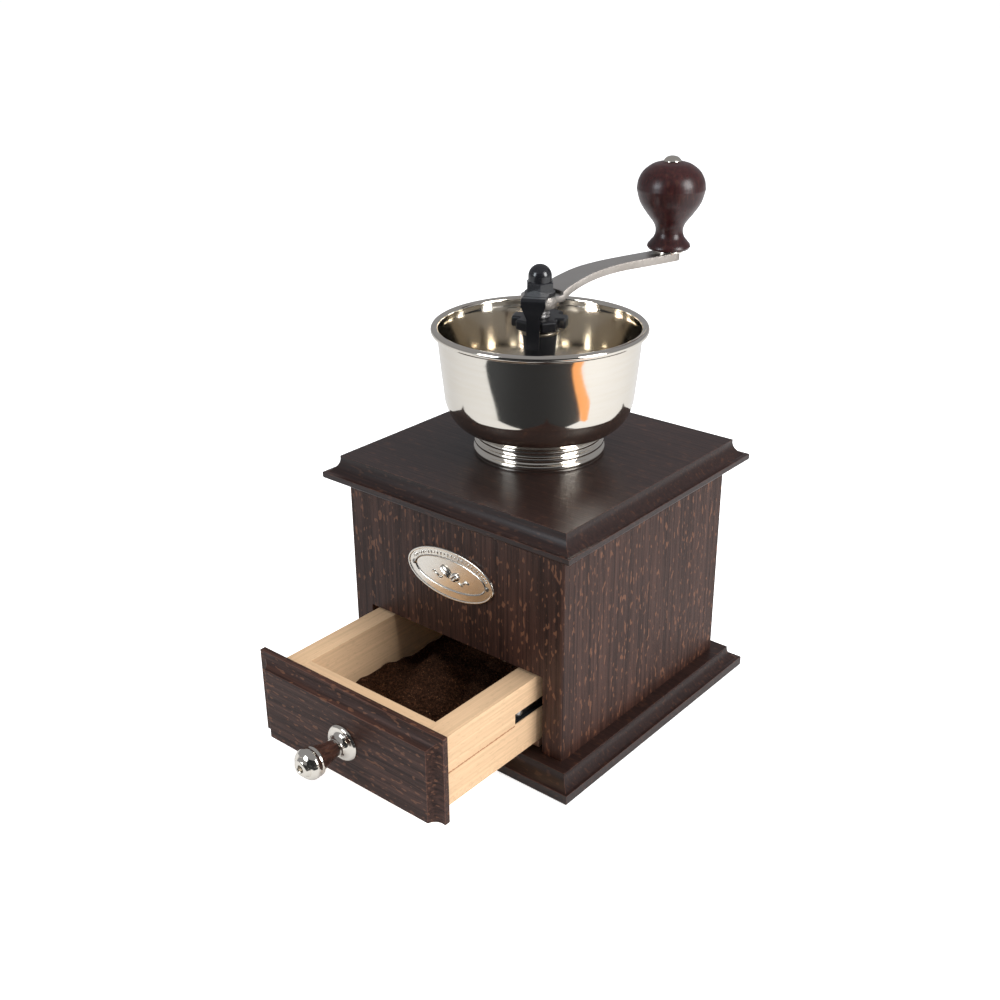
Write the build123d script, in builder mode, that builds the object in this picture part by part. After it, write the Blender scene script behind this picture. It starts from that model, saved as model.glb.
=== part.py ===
from build123d import *
from math import cos, radians, sin, sqrt
import os

# Hand-cranked coffee mill: a square wooden box with a moulded base and top board, an open
# metal bowl with the crank above it, conical burrs under the top board and a drawer for the
# ground coffee. Millimetres. +Z is up, the drawer faces -Y, and the origin is the middle of
# the base board's underside, on the axis of the crank. The drawer stands part open.

# ---- Case ----
BOX = 110.0  # outside width and depth of the box
WALL = 9.0
WALL_HEIGHT = 90.2
BASE_THICK = 10.1
BASE_BAND = 4.4  # plain band under the base board's cove
BASE_LEDGE = 5.3  # flat of the base board outside the walls
BASE_COVE = 4.7  # the cove reaches this much further out
TOP_THICK = 9.5
TOP_BAND = 2.7
TOP_LEDGE = 2.2
TOP_COVE = 5.3
QUIRK = 0.6  # small step between a cove and its band
NOSE_RADIUS = 0.9
CORNER_ROUND = 0.8  # rounded upright edges of the box

DOWEL_RADIUS = 2.0
DOWEL_LENGTH = 10.0
WOOD_SCREW_RADIUS = 1.6
WOOD_SCREW_HEAD = 3.4
WOOD_SCREW_LENGTH = 22.0
SCREW_FIT = 0.02  # radial clearance of a screw or dowel in its hole
SLOT_WIDTH = 0.9
SLOT_DEPTH = 0.8

# ---- Drawer ----
DRAWER_OPEN = 56.0  # how far the drawer stands open
STILE = 9.5  # front wall left at each side of the opening
OPENING_HEIGHT = 34.5
SPRING_GAP = 3.2  # between the drawer side and the opening, bridged by a leaf spring
DRAWER_HEADROOM = 0.9
DRAWER_BACK_GAP = 3.0
RUNNER_HEIGHT = 3.4
RUNNER_WIDTH = 8.0
RUNNER_INSET = 2.0  # the runners start this far behind the front of the box
GLIDE_GAP = 0.3
FRONT_GAP = 0.3  # drawer front to front wall when closed
SIDE_THICK = 9.4
END_THICK = 10.0
BOTTOM_THICK = 3.0
FRONT_LAP = 2.3  # the show front covers this much at each side of the opening
FRONT_RISE = 4.6  # and this much above it
FRONT_FOOT = 2.5  # gap between the show front and the base board
FRONT_BAND = 2.5  # thickness of the show front's outer band
FRONT_COVE = 5.6
FRONT_FIELD = 3.2  # the raised field stands this far in front of the band

PULL_DISC_RADIUS = 7.4
PULL_DISC = 1.4
PULL_NECK_RADIUS = 3.6
PULL_NECK = 3.2
PULL_STEM_LENGTH = 9.4
PULL_STEM_SMALL = 3.3
PULL_STEM_LARGE = 5.4
PULL_CAP_RADIUS = 6.2
PULL_CAP = 7.3
PULL_DIMPLE_RADIUS = 1.5
PULL_SCREW_RADIUS = 1.6
PULL_SCREW_HEAD = 3.0
PULL_SCREW_DOME = 1.4
PULL_SCREW_BITE = 4.6  # into the metal cap
FRONT_SCREW_PLACE = 22.0  # screws holding the show front, each side of the pull
FRONT_SCREW_BITE = 3.4  # into the show front

SPRING_SLOT_START = -11.6  # front end of the slot in a drawer side, drawer closed
SPRING_SLOT_LENGTH = 46.0
SPRING_SLOT_HEIGHT = 4.6
SPRING_SLOT_DEPTH = 2.6
SPRING_SLOT_LIFT = 14.0  # slot's middle above the top of the drawer bottom
LEAF_THICK = 0.5
LEAF_WIDTH = 4.0
LEAF_BULGE = 2.7  # the bow of the spring stands this far out of the drawer side
LEAF_FOOT = 9.0  # flat end of the spring, screwed to the drawer side
LEAF_SCREW_PLACE = 4.9  # behind the front end of the slot
LEAF_SCREW_RADIUS = 1.2
LEAF_SCREW_HEAD = 1.9
LEAF_SCREW_DOME = 0.9
LEAF_SCREW_BITE = 4.5

COFFEE_BED = 4.0
COFFEE_HEAP = 11.0
COFFEE_HEAP_RADIUS = 29.0
COFFEE_OFF_CENTRE = 3.0
COFFEE_MARGIN = 0.05

# ---- Badge ----
BADGE_WIDTH = 44.4
BADGE_HEIGHT = 21.4
BADGE_THICK = 0.8
BADGE_RIM = 0.5  # the rim and the inner ring stand this much proud
BADGE_RING_INSET = 5.2
BADGE_LOWERED = 0.9
BADGE_NAIL_PLACE = 18.9
BADGE_NAIL_HEAD = 1.1
BADGE_NAIL_DOME = 0.6
BADGE_RIM_WIDTH = 0.9
BADGE_RING_SQUASH = 0.88  # the inner ring keeps nearly the same margin above and below
NAIL_RADIUS = 0.6
NAIL_BITE = 5.0

# ---- Bowl ----
BOWL_FOOT_RADIUS = 26.3
BOWL_FOOT_HEIGHT = 9.5
BOWL_BELLY_RADIUS = 37.9
BOWL_BELLY_HEIGHT = 22.0  # above the top board, where the wall starts
BOWL_RIM_RADIUS = 41.4
BOWL_HEIGHT = 50.9
BOWL_WALL = 1.0
BOWL_BEAD = 1.5
BOWL_FLOOR = 2.0
BOWL_NECK_STEP = 0.9
BOWL_FOOT_BEAD = 0.55
BOWL_MOUTH = 14.6

# ---- Fixed mechanism ----
TOP_HOLE = 15.4  # radius of the throat through the top board
SPIDER_RADIUS = 22.0
SPIDER_BORE = 14.8
SPIDER_RING = 2.6
SPIDER_ARM = 5.0
SPIDER_HUB_FLARE = 2.0  # the hub is wider than the tube by this much
SPIDER_HUB = 6.0
TUBE_WALL = 1.3  # at its waist
TUBE_FLARE = 0.9  # wider at the top by this much
TUBE_TOP = 48.8  # top of the tube above the top board
BUSH_RIM = 0.5  # the bush's flange reaches this far past the tube
BUSH_FLANGE = 1.4
BUSH_DEPTH = 14.0
BUSH_WALL = 0.9
TUBE_CLEAR = 0.7  # between the shaft and the tube below the bush
SPIDER_TURN = 38.0  # direction of one clamp screw; the arms stand between them
CLAMP_PLACE = 18.7  # radius of the circle of clamp screws
CLAMP_SCREW_RADIUS = 1.5
CLAMP_SCREW_HEAD = 2.6
CLAMP_SCREW_DOME = 1.4
HOUSING_FLANGE_RADIUS = 27.0
HOUSING_FLANGE = 3.0
HOUSING_RADIUS = 20.5
HOUSING_DEPTH = 27.0
BURR_RADIUS = 16.9
BURR_HEIGHT = 18.0
BURR_LIFT = 5.2  # burrs above the foot of the housing
BURR_TOP_BORE = 15.4
BURR_WAIST_BORE = 12.6
BURR_WAIST = 8.0  # the ring burr is narrowest this high above its foot
BURR_FOOT_BORE = 14.6
BURR_GAP = 0.7
CONE_TOP_RADIUS = 6.6
TEETH = 18
TOOTH_DEPTH = 0.9
TOOTH_TWIST = 24.0  # the teeth lean this far round over the height of the burrs
BURR_NUT = 2.8
BURR_NUT_FLATS = 13.0
GRUB_RADIUS = 1.5
BRIDGE_WIDTH = 11.0
BRIDGE_THICK = 4.0
BRIDGE_SCREW_RADIUS = 1.3
BRIDGE_SCREW_HEAD = 2.3
BRIDGE_SCREW_DOME = 1.2
BRIDGE_SCREW_BITE = 6.0

# ---- Turning mechanism ----
SHAFT_RADIUS = 4.0
SHAFT_FIT = 0.05  # radial clearance of the shaft in its bearings
THREAD_PITCH = 1.25
THREAD_DEPTH = 0.5
STAR_LIFT = 0.3
STAR_THICK = 4.0
STAR_TIP = 11.3
STAR_VALLEY = 7.6
STAR_LOBES = 6
STAR_ROUND = 1.0
STAR_CHAMFER = 0.6
STAR_LOBE_WIDTH = 6.4
STAR_TURN = -33.0  # direction of one lobe
WASHER_THICK = 1.0
WASHER_RADIUS = 6.4
THRUST_RADIUS = 7.4
LAYER_GAP = 0.2  # between turning pieces that are stacked on the shaft
HUB_LIFT = 3.9  # bare thread between star and crank hub
HUB_RADIUS = 7.4
HUB_THICK = 4.5
HUB_SQUARE = 5.6
DISC_RADIUS = 6.1
DISC_THICK = 1.2
NUT_FLATS = 10.0
NUT_HEIGHT = 4.0
NUT_CHAMFER = 0.4
NUT_TURN = 10.0
DOME_RADIUS = 4.6
DOME_HEIGHT = 6.6
NUT_SHANK_RADIUS = 2.5
TONGUE_TURN = -64.0  # direction in which the tongue hangs
TONGUE_TOP_WIDTH = 9.6
TONGUE_WIDTH = 5.2
TONGUE_THICK = 1.0
TONGUE_CLEAR = 0.6  # between the star's lobes and the tongue
TONGUE_LENGTH = 19.5
TONGUE_ROOT = 9.2  # where the tongue starts, and the line about which it bends
TONGUE_SPLIT = 0.3
TONGUE_SHOULDER = 3.0  # the tongue narrows between these depths below the disc
TONGUE_WAIST = 8.0
TONGUE_FLARE = 1.3
TONGUE_FLARE_LENGTH = 5.0
SPRING_WIRE = 1.1
SPRING_COIL_RADIUS = 6.0
SPRING_TURNS = 4.5

# ---- Crank ----
ARM_LENGTH = 65.0
ARM_TURN = 74.0  # direction in which the arm points
ARM_RISE = 7.7  # the arm's top at the knob, above the hub's top
ARM_THICK = 3.3
ARM_STEP = 1.3  # the arm's top starts this far above the hub, beyond the clip's disc
ARM_ROOT_THICK = 2.6  # where it joins the hub
ARM_ROOT_WIDTH = 13.5
ARM_TIP_WIDTH = 9.4
ARM_BEND = 0.78  # the arm is level from this share of its length
ARM_CLIMB = ((1.8, 0.54), (2.7, 0.77), (4.0, 0.93))  # places on its top: hub radii out, share of the rise
KNOB_GAP = 0.3
KNOB_WASHER = 0.7
KNOB_WASHER_RADIUS = 6.0
KNOB_HEAD_GAP = 0.15
KNOB_FLARE_RADIUS = 8.9
KNOB_NECK_RADIUS = 5.6
KNOB_BALL_RADIUS = 13.8
KNOB_HEIGHT = 35.2
KNOB_WIDEST = 0.71  # the knob is widest at this share of its height
KNOB_PIN_RADIUS = 2.2
KNOB_PIN_HEAD = 3.6
KNOB_PIN_DOME = 1.9

# ---- Levels and places worked out from the sizes above ----
Z_FLOOR = BASE_THICK
Z_CEILING = Z_FLOOR + WALL_HEIGHT
Z_TOP = Z_CEILING + TOP_THICK
HALF = BOX / 2
INNER = HALF - WALL
OPENING = BOX - 2 * STILE
Z_LINTEL = Z_FLOOR + OPENING_HEIGHT

DRAWER_WIDTH = OPENING - 2 * SPRING_GAP
DRAWER_TOP = Z_LINTEL - DRAWER_HEADROOM
DRAWER_FOOT = Z_FLOOR + RUNNER_HEIGHT + GLIDE_GAP
SIDE_FOOT = DRAWER_FOOT + BOTTOM_THICK
BAND_BACK = -HALF - FRONT_GAP - DRAWER_OPEN
DRAWER_REAR = INNER - DRAWER_BACK_GAP - DRAWER_OPEN
BAND_FACE = BAND_BACK - FRONT_BAND
FIELD_FACE = BAND_FACE - FRONT_FIELD
FRONT_HALF = OPENING / 2 + FRONT_LAP
FRONT_BOTTOM = Z_FLOOR + FRONT_FOOT
FRONT_TOP = Z_LINTEL + FRONT_RISE
PULL_Z = (FRONT_BOTTOM + FRONT_TOP - FRONT_COVE) / 2 + 0.6
SLOT_Z = SIDE_FOOT + SPRING_SLOT_LIFT
SLOT_FRONT = SPRING_SLOT_START - DRAWER_OPEN
BADGE_Z = (FRONT_TOP + Z_CEILING) / 2 - BADGE_LOWERED

BUSH_TOP = Z_TOP + TUBE_TOP + BUSH_FLANGE
SEAT_FOOT = BUSH_TOP + LAYER_GAP
STAR_FOOT = SEAT_FOOT + WASHER_THICK + STAR_LIFT
HUB_FOOT = STAR_FOOT + STAR_THICK + HUB_LIFT
HUB_TOP = HUB_FOOT + HUB_THICK
DISC_TOP = HUB_TOP + DISC_THICK
NUT_TOP = DISC_TOP + NUT_HEIGHT
HOUSING_FOOT = Z_CEILING - HOUSING_DEPTH
BURR_FOOT = HOUSING_FOOT + BURR_LIFT
BURR_TOP = BURR_FOOT + BURR_HEIGHT
THRUST_FOOT = BURR_TOP + LAYER_GAP
SPIDER_FOOT = Z_TOP + BOWL_FLOOR
TUBE_RADIUS = SHAFT_RADIUS + TUBE_CLEAR + TUBE_WALL
BUSH_RADIUS = TUBE_RADIUS + TUBE_FLARE + BUSH_RIM
SPIDER_HUB_RADIUS = TUBE_RADIUS + SPIDER_HUB_FLARE
ARM_TOP = HUB_TOP + ARM_RISE
KNOB_FOOT = ARM_TOP + KNOB_WASHER + KNOB_GAP
KNOB_X = ARM_LENGTH * cos(radians(ARM_TURN))
KNOB_Y = ARM_LENGTH * sin(radians(ARM_TURN))
KNOB_TOP = KNOB_FOOT + KNOB_HEIGHT

DRAWER_HALF = DRAWER_WIDTH / 2
DRAWER_INNER = DRAWER_HALF - SIDE_THICK
POCKET_FRONT = BAND_BACK + END_THICK
POCKET_REAR = DRAWER_REAR - END_THICK
PULL_STEM_FOOT = PULL_DISC + PULL_NECK
PULL_CAP_FOOT = PULL_STEM_FOOT + PULL_STEM_LENGTH
SLANT = sqrt(0.5)
RUNNER_FRONT = -HALF + RUNNER_INSET
CONE_FOOT_RADIUS = BURR_FOOT_BORE - BURR_GAP
SPINDLE_FOOT = HOUSING_FOOT - BRIDGE_THICK - 2.0
THREAD_FOOT = STAR_FOOT - THREAD_PITCH
SHANK_TOP = NUT_TOP + 2.0
GRUB_PLACES = [
    Location(((HOUSING_RADIUS + BURR_RADIUS) / 2 * cos(radians(t)),
              (HOUSING_RADIUS + BURR_RADIUS) / 2 * sin(radians(t)), BURR_FOOT + BURR_HEIGHT / 2),
             (90, 90 + t, 0))
    for t in (90, 210, 330)
]
BRIDGE_SCREW_PLACES = [side * (HOUSING_RADIUS + BURR_RADIUS) / 2 for side in (-1, 1)]
CLAMPS = [
    (CLAMP_PLACE * cos(radians(SPIDER_TURN + 120 * k)), CLAMP_PLACE * sin(radians(SPIDER_TURN + 120 * k)))
    for k in range(3)
]
WALL_MIDDLE = HALF - WALL / 2
SIDE_PLACES = [(x * WALL_MIDDLE, y * HALF / 2) for x in (-1, 1) for y in (-1, 1)]
BACK_PLACES = [(x * HALF / 2, WALL_MIDDLE) for x in (-1, 1)]
FRONT_PLACES = [(x * HALF / 2, -WALL_MIDDLE) for x in (-1, 1)]
DOWELS = SIDE_PLACES + BACK_PLACES + FRONT_PLACES
BASE_SCREWS = SIDE_PLACES + BACK_PLACES
FRONT_SCREWS = (-FRONT_SCREW_PLACE, FRONT_SCREW_PLACE)
BASE_SCREW_BITE = WOOD_SCREW_LENGTH - BASE_THICK + 0.3

os.makedirs("parts", exist_ok=True)


def save(part, name):
    """Label a finished piece and write it to parts/."""
    part.label = name
    export_step(part, f"parts/{name}.step")


def moulded_board(nose, arris, thick, band):
    """Square board with its foot at Z = 0, edged by a rounded band, a step and a hollow cove."""
    cove = nose - QUIRK
    with BuildPart() as board:
        for plane, mode in ((Plane.XZ, Mode.ADD), (Plane.YZ, Mode.INTERSECT)):
            with BuildSketch(plane):
                with BuildLine():
                    Line((0, 0), (nose - NOSE_RADIUS, 0))
                    JernArc((nose - NOSE_RADIUS, 0), (1, 0), NOSE_RADIUS, 90)
                    Polyline((nose, NOSE_RADIUS), (nose, band), (cove, band))
                    hollow = (cove - (cove - arris) * SLANT, thick - (thick - band) * SLANT)
                    ThreePointArc((cove, band), hollow, (arris, thick))
                    Line((arris, thick), (0, thick))
                    mirror(about=Plane.YZ)
                make_face()
            extrude(amount=nose, both=True, mode=mode)
    return board.part


def wall_blank(turn):
    """One wall of the box, mitred at both ends; turn 0 is the front wall."""
    corners = [(-HALF, -HALF), (HALF, -HALF), (INNER, -INNER), (-INNER, -INNER)]
    with BuildPart() as blank:
        with BuildSketch(Plane.XY.offset(Z_FLOOR)):
            Polygon(*corners, rotation=turn, align=None)
            RectangleRounded(BOX, BOX, CORNER_ROUND, mode=Mode.INTERSECT)
        extrude(amount=WALL_HEIGHT)
        with Locations(*[(x, y, Z_CEILING) for x, y in DOWELS]):
            Cylinder(DOWEL_RADIUS + SCREW_FIT, DOWEL_LENGTH, mode=Mode.SUBTRACT)
        with Locations(*[(x, y, Z_FLOOR) for x, y in BASE_SCREWS]):
            Cylinder(WOOD_SCREW_RADIUS + SCREW_FIT, 2 * BASE_SCREW_BITE, mode=Mode.SUBTRACT)
    return blank.part


def countersunk_screw(radius, head, length):
    """Slotted screw pointing along +Z, with the flat of its head at Z = 0."""
    with BuildPart() as screw:
        with BuildSketch(Plane.XZ):
            Polygon(
                (0, 0), (head, 0), (radius, head - radius), (radius, length - radius), (0, length),
                align=None,
            )
        revolve(axis=Axis.Z)
        Box(3 * head, SLOT_WIDTH, 2 * SLOT_DEPTH, mode=Mode.SUBTRACT)
    return screw.part


def domed_screw(radius, head, dome, length):
    """Screw or nail pointing along +Z from under its domed head."""
    with BuildPart() as screw:
        with BuildSketch(Plane.XZ):
            with BuildLine():
                ThreePointArc((0, -dome), (head * SLANT, -dome * SLANT), (head, 0))
                Polyline((head, 0), (radius, 0), (radius, length), (0, length), (0, -dome))
            make_face()
        revolve(axis=Axis.Z)
    return screw.part


def toothed(tip, teeth, depth, turn):
    """Corners of a ring of pointed teeth whose crests lie on the radius tip."""
    step = 360 / teeth
    ring = []
    for k in range(teeth):
        for radius, angle in ((tip, turn + k * step), (tip - depth, turn + (k + 0.5) * step)):
            ring.append((radius * cos(radians(angle)), radius * sin(radians(angle))))
    return ring


def upright(turn):
    """Upright plane through the crank axis; its X runs outward in the direction turn."""
    a = radians(turn)
    return Plane(origin=(0, 0, 0), x_dir=(cos(a), sin(a), 0), z_dir=(sin(a), -cos(a), 0))


# ---- Case ----
with BuildPart() as base_board:
    add(moulded_board(HALF + BASE_LEDGE + BASE_COVE, HALF + BASE_LEDGE, BASE_THICK, BASE_BAND))
    with Locations(*BASE_SCREWS):
        add(countersunk_screw(WOOD_SCREW_RADIUS + SCREW_FIT, WOOD_SCREW_HEAD, WOOD_SCREW_LENGTH),
            mode=Mode.SUBTRACT)
        Cylinder(WOOD_SCREW_HEAD, 2 * SLOT_DEPTH, mode=Mode.SUBTRACT)
save(base_board.part, "base_board")

with BuildPart() as base_screws:
    with Locations(*BASE_SCREWS):
        add(countersunk_screw(WOOD_SCREW_RADIUS, WOOD_SCREW_HEAD, WOOD_SCREW_LENGTH))
save(base_screws.part, "base_screws")

with BuildPart() as front_wall:
    add(wall_blank(0))
    with Locations((0, -HALF, Z_FLOOR)):
        Box(OPENING, 3 * WALL, 2 * OPENING_HEIGHT, mode=Mode.SUBTRACT)
    with Locations(*[(x, -HALF, BADGE_Z) for x in (-BADGE_NAIL_PLACE, BADGE_NAIL_PLACE)]):
        Cylinder(NAIL_RADIUS + SCREW_FIT, 2 * NAIL_BITE, rotation=(90, 0, 0), mode=Mode.SUBTRACT)
save(front_wall.part, "front_wall")

for turn, name in ((90, "right_wall"), (180, "back_wall"), (270, "left_wall")):
    save(wall_blank(turn), name)

with BuildPart() as dowels:
    with Locations(*[(x, y, Z_CEILING) for x, y in DOWELS]):
        Cylinder(DOWEL_RADIUS, DOWEL_LENGTH - 0.4)
save(dowels.part, "top_dowels")

with BuildPart() as top_board:
    blank = moulded_board(HALF + TOP_LEDGE + TOP_COVE, HALF + TOP_LEDGE, TOP_THICK, TOP_BAND)
    with Locations((0, 0, Z_CEILING)):
        add(blank)
        Cylinder(TOP_HOLE, 3 * TOP_THICK, mode=Mode.SUBTRACT)
    with Locations(*[(x, y, Z_CEILING) for x, y in DOWELS]):
        Cylinder(DOWEL_RADIUS + SCREW_FIT, DOWEL_LENGTH, mode=Mode.SUBTRACT)
    with Locations(*[(x, y, Z_CEILING) for x, y in CLAMPS]):
        Cylinder(CLAMP_SCREW_RADIUS + SCREW_FIT, 3 * TOP_THICK, mode=Mode.SUBTRACT)
save(top_board.part, "top_board")

for side, name in ((-1, "left_runner"), (1, "right_runner")):
    with BuildPart() as runner:
        with Locations((side * (DRAWER_WIDTH - RUNNER_WIDTH) / 2, (RUNNER_FRONT + INNER) / 2, Z_FLOOR)):
            Box(RUNNER_WIDTH, INNER - RUNNER_FRONT, RUNNER_HEIGHT,
                align=(Align.CENTER, Align.CENTER, Align.MIN))
    save(runner.part, name)

# The badge is an oval plate with a raised rim and a raised inner ring, nailed to the front wall.
BADGE_FACE = Plane(origin=(0, -HALF, BADGE_Z), x_dir=(1, 0, 0), z_dir=(0, -1, 0))
with BuildPart() as badge_plate:
    with BuildSketch(BADGE_FACE):
        Ellipse(BADGE_WIDTH / 2, BADGE_HEIGHT / 2)
    extrude(amount=BADGE_THICK)
    with BuildSketch(BADGE_FACE.offset(BADGE_THICK)):
        for inset in (0, BADGE_RING_INSET):
            Ellipse(BADGE_WIDTH / 2 - inset, BADGE_HEIGHT / 2 - inset * BADGE_RING_SQUASH)
            Ellipse(BADGE_WIDTH / 2 - inset - BADGE_RIM_WIDTH,
                    BADGE_HEIGHT / 2 - inset * BADGE_RING_SQUASH - BADGE_RIM_WIDTH,
                    mode=Mode.SUBTRACT)
    extrude(amount=BADGE_RIM)
    with BuildSketch(BADGE_FACE):
        with Locations((-BADGE_NAIL_PLACE, 0), (BADGE_NAIL_PLACE, 0)):
            Circle(NAIL_RADIUS + SCREW_FIT)
    extrude(amount=BADGE_THICK, mode=Mode.SUBTRACT)
save(badge_plate.part, "badge_plate")

with BuildPart() as badge_nails:
    nail = domed_screw(NAIL_RADIUS, BADGE_NAIL_HEAD, BADGE_NAIL_DOME, BADGE_THICK + NAIL_BITE - 0.4)
    for x in (-BADGE_NAIL_PLACE, BADGE_NAIL_PLACE):
        with Locations(Location((x, -HALF - BADGE_THICK, BADGE_Z), (-90, 0, 0))):
            add(nail)
save(badge_nails.part, "badge_nails")

# ---- Bowl and fixed mechanism ----
# The bowl is spun in one piece: beads around the foot, a round belly, a slightly flared wall
# and a rolled rim. Its floor is clamped between the spider and the top board.
with BuildPart() as hopper_bowl:
    with BuildSketch(Plane.XZ.offset(0)) as bowl_section:
        with BuildLine():
            foot, neck = BOWL_FOOT_RADIUS, BOWL_FOOT_RADIUS - BOWL_NECK_STEP
            rise = BOWL_FOOT_HEIGHT / 3
            places = [(foot, 0), (neck + 0.3, rise), (neck, 2 * rise), (neck, 3 * rise)]
            for lower, upper in zip(places, places[1:]):
                middle = ((lower[0] + upper[0]) / 2 + BOWL_FOOT_BEAD, (lower[1] + upper[1]) / 2)
                ThreePointArc(lower, middle, upper)
            belly = BOWL_BELLY_RADIUS
            Spline((neck, BOWL_FOOT_HEIGHT), (belly, BOWL_BELLY_HEIGHT),
                   tangents=((1, 0.22), (0.04, 1)), tangent_scalars=(1.15, 1.0))
            rim = BOWL_RIM_RADIUS
            Line((belly, BOWL_BELLY_HEIGHT), (rim - BOWL_WALL / 2, BOWL_HEIGHT))
            Line((rim - BOWL_WALL / 2, BOWL_HEIGHT), (rim - BOWL_WALL * 1.5, BOWL_HEIGHT))
            Line((rim - BOWL_WALL * 1.5, BOWL_HEIGHT), (belly - BOWL_WALL, BOWL_BELLY_HEIGHT))
            well = neck - BOWL_WALL
            Spline((belly - BOWL_WALL, BOWL_BELLY_HEIGHT), (well, BOWL_FOOT_HEIGHT + BOWL_WALL),
                   tangents=((-0.04, -1), (-1, -0.22)), tangent_scalars=(1.0, 1.15))
            Polyline((well, BOWL_FOOT_HEIGHT + BOWL_WALL), (well, BOWL_FLOOR),
                     (BOWL_MOUTH, BOWL_FLOOR), (BOWL_MOUTH, 0), (foot, 0))
        make_face()
        with Locations((BOWL_RIM_RADIUS, BOWL_HEIGHT)):
            Circle(BOWL_BEAD)
    revolve(axis=Axis.Z)
    with Locations(*CLAMPS):
        Cylinder(CLAMP_SCREW_RADIUS + SCREW_FIT, 3 * BOWL_FLOOR, mode=Mode.SUBTRACT)
save(hopper_bowl.part.moved(Location((0, 0, Z_TOP))), "hopper_bowl")

with BuildPart() as bearing_spider:
    with BuildSketch(Plane.XY.offset(SPIDER_FOOT)):
        Circle(SPIDER_RADIUS)
        Circle(SPIDER_BORE, mode=Mode.SUBTRACT)
        with PolarLocations(0, 3, start_angle=SPIDER_TURN + 60):
            Rectangle(SPIDER_BORE + 1, SPIDER_ARM, align=(Align.MIN, Align.CENTER))
    extrude(amount=SPIDER_RING)
    with BuildSketch(Plane.XZ):
        hub_top, tube_top = SPIDER_FOOT + SPIDER_HUB, Z_TOP + TUBE_TOP
        with BuildLine():
            Polyline((0, SPIDER_FOOT), (SPIDER_HUB_RADIUS, SPIDER_FOOT), (SPIDER_HUB_RADIUS, hub_top - 2))
            Spline((SPIDER_HUB_RADIUS, hub_top - 2), (TUBE_RADIUS, hub_top + SPIDER_HUB),
                   (TUBE_RADIUS, tube_top - 9), (TUBE_RADIUS + TUBE_FLARE, tube_top))
            Polyline((TUBE_RADIUS + TUBE_FLARE, tube_top), (0, tube_top), (0, SPIDER_FOOT))
        make_face()
    revolve(axis=Axis.Z)
    with Locations((0, 0, SPIDER_FOOT)):
        Cylinder(SHAFT_RADIUS + TUBE_CLEAR, 3 * TUBE_TOP, mode=Mode.SUBTRACT)
    with Locations((0, 0, tube_top)):
        Cylinder(SHAFT_RADIUS + SHAFT_FIT + BUSH_WALL, 2 * BUSH_DEPTH, mode=Mode.SUBTRACT)
    with Locations(*[(x, y, SPIDER_FOOT) for x, y in CLAMPS]):
        Cylinder(CLAMP_SCREW_RADIUS + SCREW_FIT, 3 * SPIDER_RING, mode=Mode.SUBTRACT)
save(bearing_spider.part, "bearing_spider")

with BuildPart() as bearing_bush:
    with BuildSketch(Plane.XZ):
        bore, tube_top = SHAFT_RADIUS + SHAFT_FIT, Z_TOP + TUBE_TOP
        Polygon(
            (bore, tube_top - BUSH_DEPTH), (bore + BUSH_WALL, tube_top - BUSH_DEPTH),
            (bore + BUSH_WALL, tube_top), (BUSH_RADIUS, tube_top), (BUSH_RADIUS, BUSH_TOP - 0.4),
            (BUSH_RADIUS - 0.4, BUSH_TOP), (bore, BUSH_TOP), align=None,
        )
    revolve(axis=Axis.Z)
save(bearing_bush.part, "bearing_bush")

with BuildPart() as clamp_screws:
    reach = SPIDER_FOOT + SPIDER_RING - Z_CEILING + HOUSING_FLANGE
    bolt = domed_screw(CLAMP_SCREW_RADIUS, CLAMP_SCREW_HEAD, CLAMP_SCREW_DOME, reach)
    for x, y in CLAMPS:
        with Locations(Location((x, y, SPIDER_FOOT + SPIDER_RING), (180, 0, 0))):
            add(bolt)
save(clamp_screws.part, "clamp_screws")

with BuildPart() as burr_housing:
    with BuildSketch(Plane.XZ):
        Polygon(
            (TOP_HOLE, Z_CEILING), (HOUSING_FLANGE_RADIUS, Z_CEILING),
            (HOUSING_FLANGE_RADIUS, Z_CEILING - HOUSING_FLANGE),
            (HOUSING_RADIUS, Z_CEILING - HOUSING_FLANGE), (HOUSING_RADIUS, HOUSING_FOOT),
            (BURR_RADIUS, HOUSING_FOOT), (BURR_RADIUS, BURR_TOP), (TOP_HOLE, BURR_TOP), align=None,
        )
    revolve(axis=Axis.Z)
    with Locations(*[(x, y, Z_CEILING) for x, y in CLAMPS]):
        Cylinder(CLAMP_SCREW_RADIUS + SCREW_FIT, 2 * HOUSING_FLANGE, mode=Mode.SUBTRACT)
    with Locations(*GRUB_PLACES):
        Cylinder(GRUB_RADIUS + SCREW_FIT, 2 * (HOUSING_RADIUS - BURR_RADIUS), mode=Mode.SUBTRACT)
    with Locations(*[(x, 0, HOUSING_FOOT) for x in BRIDGE_SCREW_PLACES]):
        Cylinder(BRIDGE_SCREW_RADIUS + SCREW_FIT, 2 * BRIDGE_SCREW_BITE, mode=Mode.SUBTRACT)
save(burr_housing.part, "burr_housing")

with BuildPart() as outer_burr:
    with Locations((0, 0, BURR_FOOT)):
        Cylinder(BURR_RADIUS - SCREW_FIT, BURR_HEIGHT, align=(Align.CENTER, Align.CENTER, Align.MIN))
    waist = (BURR_FOOT + BURR_WAIST, BURR_WAIST_BORE, -TOOTH_TWIST * BURR_WAIST / BURR_HEIGHT)
    for span in (((BURR_FOOT, BURR_FOOT_BORE, 0), waist), (waist, (BURR_TOP, BURR_TOP_BORE, -TOOTH_TWIST))):
        for level, bore, turn in span:
            with BuildSketch(Plane.XY.offset(level)):
                Polygon(*toothed(bore + TOOTH_DEPTH, TEETH, TOOTH_DEPTH, turn), align=None)
        loft(ruled=True, mode=Mode.SUBTRACT)
save(outer_burr.part, "outer_burr")

with BuildPart() as grub_screws:
    with Locations(*GRUB_PLACES):
        Cylinder(GRUB_RADIUS, HOUSING_RADIUS - BURR_RADIUS - 0.4)
save(grub_screws.part, "grub_screws")

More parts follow.
